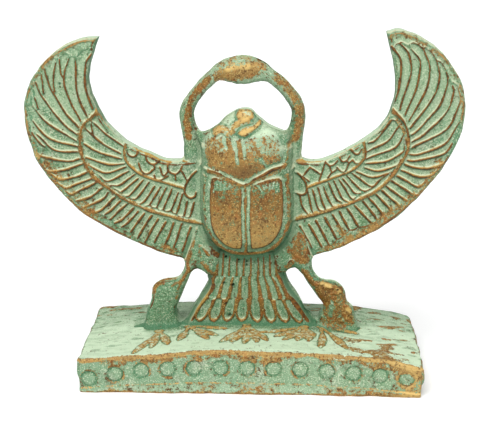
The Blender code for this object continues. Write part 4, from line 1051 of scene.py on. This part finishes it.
class Shell:
    """A face cut from a canvas, and the numbers of the wall points that follow below its rim."""

    def __init__(self, canvas, inside, height, rings, faces):
        self.spots, self.tris = canvas.cut(inside, height)
        self.count = len(self.spots)
        self.rings = rings
        self.wall_start = faces * self.count
        self.rim = open_edges(self.tris)
        self.rim_ids = np.unique(self.rim)
        self.column = np.full(self.count, -1)
        self.column[self.rim_ids] = np.arange(len(self.rim_ids))
        self.out = outward(canvas, inside, self.spots[self.rim_ids])

    def ring_point(self, v, k):
        """The point below a rim point on wall ring k; ring 0 is the face, past the last is the back."""
        if k == 0:
            return v
        if k > self.rings:
            return v + self.count
        return self.wall_start + (k - 1) * len(self.rim_ids) + self.column[v]

    def walls(self, bands):
        """Two triangles below each rim edge in each band between two rings."""
        u, v = self.rim[:, 0], self.rim[:, 1]
        triangles = []
        for k in range(bands):
            a, b = self.ring_point(v, k), self.ring_point(u, k)
            c, d = self.ring_point(u, k + 1), self.ring_point(v, k + 1)
            triangles += [np.column_stack([a, b, c]), np.column_stack([a, c, d])]
        return triangles


def make_piece(name, places, faces, walls, normals, finish_and_light, painted_light_slant, material):
    """A mesh object from shared points: triangles, then flat inner walls where it was parted."""
    polygons = faces.tolist() + walls
    used = np.unique(np.concatenate([faces.ravel()] + [np.array(w) for w in walls]))
    renumber = np.zeros(len(places), int)
    renumber[used] = np.arange(len(used))
    polygons = [[int(renumber[v]) for v in polygon] for polygon in polygons]
    mesh = bpy.data.meshes.new(name)
    mesh.from_pydata((places[used] * MM).tolist(), [], polygons)
    mesh.polygons.foreach_set("use_smooth", [True] * len(polygons))
    # Colour layers: wear with a painted highlight beside the ridges, brown, gold, and dark or pale with
    # painted shade and highlight.
    layer = mesh.attributes.new("finish_and_light", "FLOAT_COLOR", "POINT")
    layer.data.foreach_set("color", finish_and_light[used].astype(np.float32).ravel())
    # Painted light: how far the front leans up or down, for painted highlights and painted shade.
    layer = mesh.attributes.new("painted_light_slant", "FLOAT", "POINT")
    layer.data.foreach_set("value", painted_light_slant[used].astype(np.float32))
    loops = [normals[faces.ravel()]]
    for wall in walls:
        a, b, c = places[wall[0]], places[wall[1]], places[wall[-1]]
        n = np.cross(b - a, c - a)
        n /= max(np.linalg.norm(n), 1e-12)
        loops.append(np.tile(n, (len(wall), 1)))
    mesh.normals_split_custom_set(np.vstack(loops).tolist())
    mesh.materials.append(material)
    piece = bpy.data.objects.new(name, mesh)
    bpy.context.collection.objects.link(piece)
    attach(piece, "root")
    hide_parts(NODE)


def build_figure(material):
    """The figure as one surface of front, walls and back, parted into four pieces."""
    parts, inside, flat, front, back, pits = figure()
    paint = painted(parts, inside, flat, pits)
    inside = np.where(fig_above < -FOOT_SUNK, np.minimum(inside, -0.5), inside)
    shell = Shell(fig, inside, front, WALL_RINGS, 2)
    spots = shell.spots
    front_y, back_y = -fig.sample(front, spots), fig.sample(back, spots)
    places = [np.column_stack([spots[:, 0], y, spots[:, 1]]) for y in (front_y, back_y)]
    face = np.column_stack([fig.sample(field, spots) for field in paint])
    edge_worn = worn_edges(inside, spots)
    face[:, 0] = np.clip(face[:, 0] + edge_worn, -1, 1)
    colours = [face, np.outer(0.05 + 0.6 * edge_worn, (1, 0, 0, 0))]
    for ring_places, ring_colours in figure_walls(shell, front_y, back_y, face):
        places.append(ring_places)
        colours.append(ring_colours)
    places, colours = np.vstack(places), np.vstack(colours)
    painted_light_slant = light_and_shade_slopes(flat, spots, places)
    walls = shell.walls(WALL_RINGS + 1)
    back_tris = shell.tris[:, ::-1] + shell.count
    normals = vertex_normals(places, np.vstack([shell.tris, back_tris] + walls))
    region, rim_region = regions(shell)
    for index, name in enumerate(PIECES):
        mine = region == index
        own = [shell.tris[mine], back_tris[mine]] + [wall[rim_region == index] for wall in walls]
        make_piece(name, places, np.vstack(own), inner_walls(shell, mine), normals, colours, painted_light_slant, material)


def worn_edges(inside, spots):
    """How far the front's edges are rubbed bare, in patches."""
    worn_there = 0.75 * bell(fig.sample(inside, spots), 0.9, 0.9)
    worn_there *= np.clip(0.75 + 0.45 * fig.sample(fig.noise(2.2, 13), spots), 0, 1.2)
    worn_there *= smoothstep(0.98, 0.85, fig.sample(fig.blur((inside > 0).astype(float), 1.0), spots))
    worn_there *= smoothstep(1, 5, spots[:, 1] - plinth_top(spots[:, 0]))
    on_head = smoothstep(43, 45, (spots[:, 1] - PLINTH_TOP) / UNIT) \
        * (np.abs(spots[:, 0] / UNIT) < MIDDLE_HALF)
    return worn_there * (1 - 0.6 * on_head)


def figure_walls(shell, front_y, back_y, face):
    """Places and colours of each ring of the figure's walls, a little uneven between its faces."""
    ids, out = shell.rim_ids, shell.out
    rim = shell.spots[ids]
    swell = fig.sample(fig.noise(2.0, 11), rim)
    sway = fig.sample(fig.noise(2.4, 12), rim)
    aloft = smoothstep(2, 8, rim[:, 1] - plinth_top(rim[:, 0]))
    # Painted shade on walls that face down and a painted highlight on walls that face up.
    patina_shade_and_sheen = 0.75 * smoothstep(0.5, -0.1, out[:, 1]) - 0.8 * smoothstep(0.3, 0.8, out[:, 1])
    for share in np.linspace(0, 1, WALL_RINGS + 2)[1:-1]:
        y = front_y[ids] + (back_y[ids] - front_y[ids]) * share
        push = 0.10 * (swell * math.cos(3.3 * share) + sway * math.sin(4.1 * share))
        push *= math.sin(math.pi * share)
        ring = rim + out * push[:, None]
        fade = math.exp(-share * 9)
        colours = face[ids] * (fade, fade * 0.8, 0.6, 0.0)
        # Near the plinth the walls are made pale instead.
        colours[:, 3] = patina_shade_and_sheen * aloft - 0.35 * (1 - aloft)
        yield np.column_stack([ring[:, 0], y, ring[:, 1]]), colours


def light_and_shade_slopes(flat, spots, places):
    """How far the front leans up or down, for painted highlights on flanks that face up and painted shade on
    those that face down, beside the ridges.
    """
    slope = -np.gradient(fig.blur(flat, 0.2), STEP)[0]
    painted_light_slant = np.zeros(len(places))
    painted_light_slant[:len(spots)] = np.clip(fig.sample(slope, spots) / 1.2, -1, 1)
    high = (places[:, 2] - PLINTH_TOP) / UNIT
    away = np.abs(places[:, 0] / UNIT)
    painted_light_slant *= 1 - 0.7 * (away < MIDDLE_HALF) * (high > LOOP_FROM)
    painted_light_slant *= 1 - 0.65 * (away > np.interp(high, [0, 12], [13, 7])) * (high < 13.5)
    return painted_light_slant


def regions(shell):
    """Which piece each triangle belongs to, as an index into PIECES, and each edge of the rim."""
    middle = shell.spots[shell.tris].mean(axis=1)
    left_cut, right_cut = fig.columns[np.searchsorted(fig.columns, [LEFT_CUT, RIGHT_CUT])]
    low_cut = fig.rows[np.searchsorted(fig.rows, LOW_CUT)]
    wing_zone = middle[:, 1] > WING_ZONE
    region = np.select([(middle[:, 0] < left_cut) & wing_zone, (middle[:, 0] > right_cut) & wing_zone,
                        middle[:, 1] > low_cut], [0, 1, 2], 3)
    edges = edges_of(shell.tris)
    key = edges[:, 0] * shell.count + edges[:, 1]
    order = np.argsort(key)
    found = np.searchsorted(key[order], shell.rim[:, 0] * shell.count + shell.rim[:, 1])
    return region, np.tile(region, 3)[order][found]


def inner_walls(shell, mine):
    """Flat walls from front to back where a piece was parted from its neighbours."""
    rim = set(map(tuple, shell.rim.tolist()))
    walls = []
    for a, b in open_edges(shell.tris[mine]).tolist():
        if (a, b) in rim:
            continue
        polygon = [b, a]
        if shell.column[a] >= 0:
            polygon += [int(shell.ring_point(a, k)) for k in range(1, WALL_RINGS + 1)]
        polygon += [a + shell.count, b + shell.count]
        if shell.column[b] >= 0:
            polygon += [int(shell.ring_point(b, k)) for k in range(WALL_RINGS, 0, -1)]
        walls.append(polygon)
    return walls


def plinth_plan():
    """How far inside the plinth's plan each point of its canvas lies."""
    long_half = PLINTH_LENGTH / 2 + END_BULGE * (top.x > PLINTH_SHIFT)
    dx = np.abs(top.x - PLINTH_SHIFT) - long_half + PLINTH_CORNER
    dy = np.abs(top.z) - PLINTH_DEPTH / 2 + PLINTH_CORNER
    outside = np.hypot(np.maximum(dx, 0), np.maximum(dy, 0))
    return PLINTH_CORNER - outside - np.minimum(np.maximum(dx, dy), 0)


def tufts():
    """Petals on the plinth's top, in five fans that open to the front; and their outlines."""
    lines, outlines = top.blank(), top.blank()

    def raise_both(spine, half, rise):
        top.stroke(lines, spine, half, rise, power=0.6)
        top.stroke(outlines, spine, half + TUFT_MARGIN, power=0.4)

    half = PETAL_HALF * np.interp(np.linspace(0, 1, TUFT_POINTS), *zip(*TUFT_PETAL))
    for apex, tips in TUFTS:
        apex = np.array(apex, float)
        for tip in tips:
            run = np.array(tip, float) - apex
            bow = np.array([-run[1], run[0]]) * 0.05
            raise_both(bend(apex, apex + run * 0.5 + bow, apex + run, TUFT_POINTS), half, 0.55)
        raise_both(np.array([apex + (-0.6, 0.3), apex + (0.7, 0.2)]), 1.6, 0.6)
    return lines, outlines


def build_plinth(material):
    """The plinth: crowned top with tufts, sunken discs and a strip along its front."""
    inside = plinth_plan() + 0.16 * top.noise(6.0, 21) + 0.06 * top.noise(1.5, 22)
    petals, outlines = tufts()
    strokes = smoothstep(0.2, 0.8, top.noise(1.4, 27, 1.8) + 0.8 * top.noise(6.0, 26) - 0.05)
    strokes *= smoothstep(38, 56, top.x)
    strokes += smoothstep(1.0, 1.6, top.noise(1.0, 28, 4.0)) * smoothstep(12, 22, top.z) * 0.9
    incised = top.line(np.array([(x, EDGE_LINE) for x in np.linspace(8, 76, 30)]), 0.8, 0.3)
    height = plinth_top(top.x) + petals + 0.18 * strokes
    height += 0.22 * top.noise(9.0, 23) + 0.09 * top.noise(1.6, 24, 2.0) + 0.03 * top.noise(0.7, 25)
    height -= incised
    height -= rounded(inside, EDGE)
    shell = Shell(top, inside, height, PLINTH_RINGS, 1)
    z = top.sample(height, shell.spots)
    places = [np.column_stack([shell.spots, z])]
    colours = [plinth_top_paint(shell.spots, inside, petals, outlines, strokes, incised)]
    for ring_places, ring_colours in plinth_walls(shell, z[shell.rim_ids]):
        places.append(ring_places)
        colours.append(ring_colours)
    places, colours = np.vstack(places), np.vstack(colours)
    faces = np.vstack([shell.tris] + shell.walls(PLINTH_RINGS))
    normals = vertex_normals(places, faces)
    rim = shell.spots[shell.rim_ids]
    round_about = np.argsort(-np.arctan2(rim[:, 1], rim[:, 0] - PLINTH_SHIFT))
    floor_ring = (len(places) - len(rim) + round_about).tolist()
    make_piece("plinth", places, faces, [floor_ring], normals, colours, np.zeros(len(places)), material)


def plinth_walls(shell, rim_z):
    """Places and colours of each ring of the plinth's walls, down to the floor."""
    rim, out = shell.spots[shell.rim_ids], shell.out
    facing = smoothstep(0.8, 0.95, -out[:, 1])
    ends = smoothstep(0.6, 0.95, np.abs(out[:, 0]))
    rough = [top.sample(top.noise(1.6, 31 + k), rim) for k in range(3)]
    smear = top.sample(top.noise(2.2, 35, 2.0), rim)
    right_end = smoothstep(70, 80, rim[:, 0] + 2 * rough[2]) * smoothstep(32, 4, rim[:, 1])
    for share in np.arange(1, PLINTH_RINGS + 1) / PLINTH_RINGS:
        level = rim_z * (1 - share)
        push, brown, gold, patina_shade_and_sheen = front_relief(rim[:, 0], level, rim_z, smear)
        push = push * facing + 0.10 * (rough[0] * math.cos(4 * share) + rough[1] * math.sin(5 * share))
        push -= 0.5 * smoothstep(0.6, 0, level)
        push -= ends * END_LEAN * smoothstep(0.35, 1.0, share)
        edge = math.exp(-share * 60) + 0.8 * smoothstep(1.6, 0.4, level)
        colours = np.zeros((len(rim), 4))
        colours[:, 1] = brown * facing + 0.55 * right_end + edge * (0.4 + 0.3 * facing)
        colours[:, 2] = gold * facing + 0.35 * right_end
        colours[:, 3] = patina_shade_and_sheen * facing
        yield np.column_stack([rim + out * push[:, None], level]), colours


def plinth_top_paint(spots, *fields):
    """The colours of the plinth's top: a pale coat that is a painted highlight, lightest towards the front,
    painted shadow where the figure stands, worn edges, petals and brush strokes.
    """
    deep, petal, outline, stroke, line = [top.sample(field, spots) for field in fields]
    x, y = spots.T
    at_edge = bell(deep, 0.2, 0.6)
    texture = top.sample(top.noise(0.8, 29, 2.2), spots)
    front_edge = smoothstep(-30, -33, y)
    right = smoothstep(60, 76, x)
    petal = smoothstep(0.08, 0.3, petal)
    outline = smoothstep(0.2, 0.6, outline) * (1 - petal)
    brown = 0.67 * petal + 0.5 * outline + 0.7 * stroke + 1.2 * line
    brown += at_edge * (0.62 + 0.7 * front_edge + 0.2 * right)
    gold = 0.4 * petal + 0.15 * stroke + at_edge * (0.4 + 0.4 * right) * front_edge
    # Painted shadow along the line where the figure stands on the top.
    shadow_under_figure = np.exp(-np.clip(np.abs(y + 2) - 1, 0, 99) / 2.0)
    shadow_under_figure *= smoothstep(53, 45, np.abs(x - PLINTH_SHIFT))
    # A pale painted highlight over the top, lighter towards the front and weaker behind the figure.
    top_sheen = 0.85 + 0.15 * smoothstep(-8, -28, y) - 0.3 * smoothstep(2, 10, y)
    patina_shade_and_sheen = shadow_under_figure - top_sheen + 1.3 * outline + 0.9 * at_edge * (1 - front_edge)
    patina_shade_and_sheen += 0.5 * smoothstep(0.9, 2.2, texture) + 0.25 * smoothstep(0.3, -1.5, texture)
    return np.column_stack([np.zeros(len(spots)), brown, gold, patina_shade_and_sheen])


def front_relief(x, level, edge, smear):
    """The plinth's front face: how far it stands out, and how brown, golden, dark and pale it is."""
    strip = strip_top(x)
    push = 0.6 * smoothstep(strip + 0.35, strip - 0.35, level)
    on_line = bell(level, strip, 0.5)
    under = edge - level
    band = smoothstep(3.4 + smear, 1.2 + smear, under) * (level > strip)
    brown = 0.5 * on_line + 0.62 * band
    gold = 0.7 * on_line + 0.5 * smoothstep(0.9, 0.4, under)
    low = smoothstep(strip, strip - 1.5, level)
    brown = brown + low * (0.26 + 0.22 * smoothstep(10, 60, x) + 0.12 * smear)
    gold = gold + 0.15 * low
    reach = PLINTH_LENGTH / 2 - 1.6 * DISC_RADIUS
    middles = np.linspace(-reach, reach, DISC_COUNT) + PLINTH_SHIFT
    place = np.abs(x[:, None] - middles).argmin(axis=1)
    centre = middles[place]
    height = strip_top(centre) + (plinth_top(centre) - strip_top(centre)) * 0.46
    height -= 2.4 * smoothstep(-40, -76, centre)
    far = np.hypot(x - centre, level - height)
    push = push - 0.30 * smoothstep(DISC_RADIUS + 0.3, DISC_RADIUS - 0.5, far)
    groove = bell(far, DISC_RADIUS, 0.42)
    push = push - 0.45 * groove
    turn = np.arctan2(level - height, x - centre)
    part = 0.5 + 0.5 * np.sin(turn + 2.4 * np.sin(7.7 * place))
    halo = bell(far - DISC_RADIUS, 0.7, 0.8)
    brown = brown + halo * (0.18 + 0.38 * part) - 0.5 * smoothstep(DISC_RADIUS, DISC_RADIUS - 1.2, far)
    gold = gold + 0.25 * halo
    patina_shade_and_sheen = 1.4 * groove * (0.65 + 0.35 * part) - 0.27 - 0.13 * low
    return push, brown, gold, patina_shade_and_sheen


class Nodes:
    """Short forms for making and joining the nodes of a material."""

    def __init__(self, name):
        self.material = bpy.data.materials.new(name)
        self.material.use_nodes = True
        self.tree = self.material.node_tree
        self.tree.nodes.clear()
        self.place = self.make("TexCoord").outputs["Object"]
        finish_and_light = self.attribute("finish_and_light")
        split = self.make("SeparateColor")
        self.put(split.inputs["Color"], finish_and_light["Color"])
        self.wear, self.brown, self.gold = split.outputs
        self.patina_shade_and_sheen = finish_and_light["Alpha"]
        self.painted_light_slant = self.attribute("painted_light_slant")["Fac"]

    def make(self, kind):
        return self.tree.nodes.new("ShaderNode" + kind)

    def attribute(self, name):
        node = self.make("Attribute")
        node.attribute_name = name
        return node.outputs

    def put(self, socket, value):
        if isinstance(value, bpy.types.NodeSocket):
            self.tree.links.new(value, socket)
        else:
            socket.default_value = value

    def noise(self, size, detail=3.0, rough=0.55):
        """Noise whose hills are about a size in millimetres."""
        node = self.make("TexNoise")
        self.put(node.inputs["Vector"], self.place)
        node.inputs["Scale"].default_value = 1 / (size * MM)
        node.inputs["Detail"].default_value = detail
        node.inputs["Roughness"].default_value = rough
        return node.outputs["Fac"]

    def math(self, kind, a, b=0.0, c=0.0):
        node = self.make("Math")
        node.operation = kind
        for socket, value in zip(node.inputs, (a, b, c)):
            self.put(socket, value)
        return node.outputs[0]

    def steps(self, value, low, high):
        """0 below a low value, 1 above a high one, smooth between."""
        node = self.make("MapRange")
        node.interpolation_type = "SMOOTHSTEP"
        self.put(node.inputs["Value"], value)
        node.inputs["From Min"].default_value = low
        node.inputs["From Max"].default_value = high
        return node.outputs[0]

    def mix(self, share, a, b):
        node = self.make("Mix")
        node.data_type = "RGBA"
        for socket, value in zip((node.inputs[0], node.inputs[6], node.inputs[7]), (share, a, b)):
            self.put(socket, value)
        return node.outputs[2]

    def uneven(self, value, noise, much):
        """A value made uneven by a noise about its middle."""
        return self.math("MULTIPLY_ADD", self.math("SUBTRACT", noise, 0.5), much, value)

    def tinted(self, colour, *tints):
        """A colour with others over it: what each follows, from and to where, how much, and its colour."""
        for value, low, high, most, tint in tints:
            share = self.math("MULTIPLY", self.steps(value, low, high), most)
            colour = self.mix(share, colour, linear(*tint))
        return colour


def linear(red, green, blue):
    """A colour given as it is seen, 0 to 255, as the light values that shaders use."""
    parts = [c / 255 for c in (red, green, blue)]
    return tuple(((p + 0.055) / 1.055) ** 2.4 if p > 0.04045 else p / 12.92 for p in parts) + (1.0,)


def patina():
    """Brown bronze under pale green, rubbed bare on the ridges, with painted highlights and painted shade.
    """
    n = Nodes("verdigris bronze")
    broad, cloud = n.noise(26.0), n.noise(6.0, 4.0, 0.6)
    patch, grain, speck = n.noise(3.0), n.noise(1.4, 3.0, 0.65), n.noise(0.6, 2.0, 0.6)

    green = n.tinted(linear(92, 136, 101),
                     (broad, 0.38, 0.62, 1.0, (109, 145, 107)), (cloud, 0.48, 0.68, 1.0, (138, 156, 130)),
                     (patch, 0.54, 0.66, 1.0, (88, 130, 94)), (grain, 0.54, 0.64, 1.0, (88, 126, 86)),
                     (speck, 0.54, 0.64, 0.9, (196, 204, 172)), (speck, 0.46, 0.38, 0.7, (80, 104, 64)),
                     # Pale lines beside the ridges: a painted highlight.
                     (n.uneven(n.wear, grain, 1.2), -0.2, -0.6, 0.38, (192, 210, 174)),
                     # Painted highlight on flanks that face up, painted shade on those that face down.
                     (n.painted_light_slant, 0.15, 0.6, 0.7, (216, 220, 184)), (n.painted_light_slant, -0.12, -0.5, 0.7, (66, 98, 66)),
                     # Pale coat, partly painted highlight; dark green of the hollows, patina with painted
                     # shade.
                     (n.patina_shade_and_sheen, 0.0, -1.0, 0.86, (207, 227, 195)), (n.patina_shade_and_sheen, 0.0, 1.0, 0.8, (58, 108, 74)))
    tan = n.tinted(linear(110, 75, 24),
                   (cloud, 0.38, 0.62, 1.0, (134, 99, 38)), (patch, 0.52, 0.64, 0.7, (137, 77, 22)))
    tan = n.mix(n.math("MULTIPLY", n.gold, 0.9), tan, linear(222, 188, 114))
    tan = n.tinted(tan, (grain, 0.53, 0.63, 0.8, (82, 51, 13)), (speck, 0.55, 0.66, 0.7, (204, 176, 106)))
    dark = n.tinted(linear(126, 81, 25),
                    # Painted shade on bare flanks that face down.
                    (grain, 0.40, 0.62, 1.0, (76, 47, 11)), (n.painted_light_slant, -0.15, -0.6, 1.0, (56, 34, 12)))
    bronze = n.tinted(n.mix(n.steps(n.brown, 0.2, 0.5), dark, tan),
                      # Painted highlight on bronze flanks that face up; darker in the hollows, patina with
                      # painted shade.
                      (n.painted_light_slant, 0.3, 0.8, 0.6, (204, 165, 82)), (n.patina_shade_and_sheen, 0.25, 1.1, 0.8, (76, 48, 12)))

    ridge = n.uneven(n.uneven(n.uneven(n.wear, cloud, 1.3), grain, 1.0), broad, 0.8)
    paint = n.uneven(n.uneven(n.uneven(n.brown, grain, 1.8), speck, 1.6), patch, 1.4)
    cover = n.math("MAXIMUM", n.steps(ridge, 0.30, 0.46), n.steps(paint, 0.36, 0.60))
    # Near black at the deepest values, in the pits: painted shade.
    colour = n.tinted(n.mix(cover, green, bronze), (n.patina_shade_and_sheen, 1.3, 1.8, 1.0, (22, 30, 18)))

    shader = n.make("BsdfPrincipled")
    n.put(shader.inputs["Base Color"], colour)
    rough = n.math("MULTIPLY_ADD", cover, -0.18, 0.66)
    n.put(shader.inputs["Roughness"], n.math("MULTIPLY_ADD", grain, 0.16, rough))
    shader.inputs["Specular IOR Level"].default_value = 0.35
    bump = n.make("Bump")
    bump.inputs["Strength"].default_value = 0.5
    bump.inputs["Distance"].default_value = 0.18 * MM
    n.put(bump.inputs["Height"], n.math("MULTIPLY_ADD", speck, 0.5, grain))
    n.put(shader.inputs["Normal"], bump.outputs[0])
    n.put(n.make("OutputMaterial").inputs["Surface"], shader.outputs[0])
    return n.material


def add(name, data):
    """A new object in the scene."""
    made = bpy.data.objects.new(name, data)
    bpy.context.collection.objects.link(made)
    return made


def aimed(thing, direction, forward):
    """Turn an object so that one of its axes points along a direction."""
    thing.rotation_mode = "QUATERNION"
    thing.rotation_quaternion = direction.to_track_quat(forward, "Y")


def studio():
    """A plain pale floor, soft light from above and the photo's view."""
    centre = (LOW + HIGH) / 2
    span = HIGH[0] - LOW[0]
    reach = FLOOR_REACH * span
    mesh = bpy.data.meshes.new("floor")
    mesh.from_pydata([(-reach, -reach, 0), (reach, -reach, 0), (reach, reach, 0), (-reach, reach, 0)],
                     [], [(0, 1, 2, 3)])
    pale = bpy.data.materials.new("pale floor")
    pale.use_nodes = True
    shader = pale.node_tree.nodes["Principled BSDF"]
    shader.inputs["Base Color"].default_value = (0.95, 0.95, 0.95, 1)
    shader.inputs["Emission Color"].default_value = (1, 1, 1, 1)
    shader.inputs["Emission Strength"].default_value = 0.12
    shader.inputs["Roughness"].default_value = 0.9
    mesh.materials.append(pale)
    floor = add("floor", mesh)

    world = bpy.data.worlds.new("studio")
    world.use_nodes = True
    world.node_tree.nodes["Background"].inputs["Color"].default_value = (1, 1, 1, 1)
    world.node_tree.nodes["Background"].inputs["Strength"].default_value = WORLD_LIGHT
    bpy.context.scene.world = world
    for name, towards, spread, power in LIGHTS:
        light = bpy.data.lights.new(name, "SUN")
        light.angle = math.radians(spread)
        light.energy = power
        lamp = add(name, light)
        lamp.location = centre + Vector(towards) * span * LAMP_AWAY
        aimed(lamp, Vector(towards), "Z")

    azimuth, elevation = math.radians(AZIMUTH), math.radians(ELEVATION)
    ahead = Vector((-math.sin(azimuth) * math.cos(elevation),
                    math.cos(azimuth) * math.cos(elevation), -math.sin(elevation)))
    data = bpy.data.cameras.new("camera")
    data.lens = LENS
    data.sensor_width = SENSOR_WIDTH
    data.clip_start = 0.01
    camera = add("camera", data)
    camera.location = Vector(LOOKED_AT) * MM - ahead * CAMERA_AWAY * MM
    aimed(camera, ahead, "-Z")
    bpy.context.scene.camera = camera
    bpy.context.scene.view_settings.view_transform = "Standard"


def main():
    material = patina()
    build_figure(material)
    build_plinth(material)
    studio()


main()
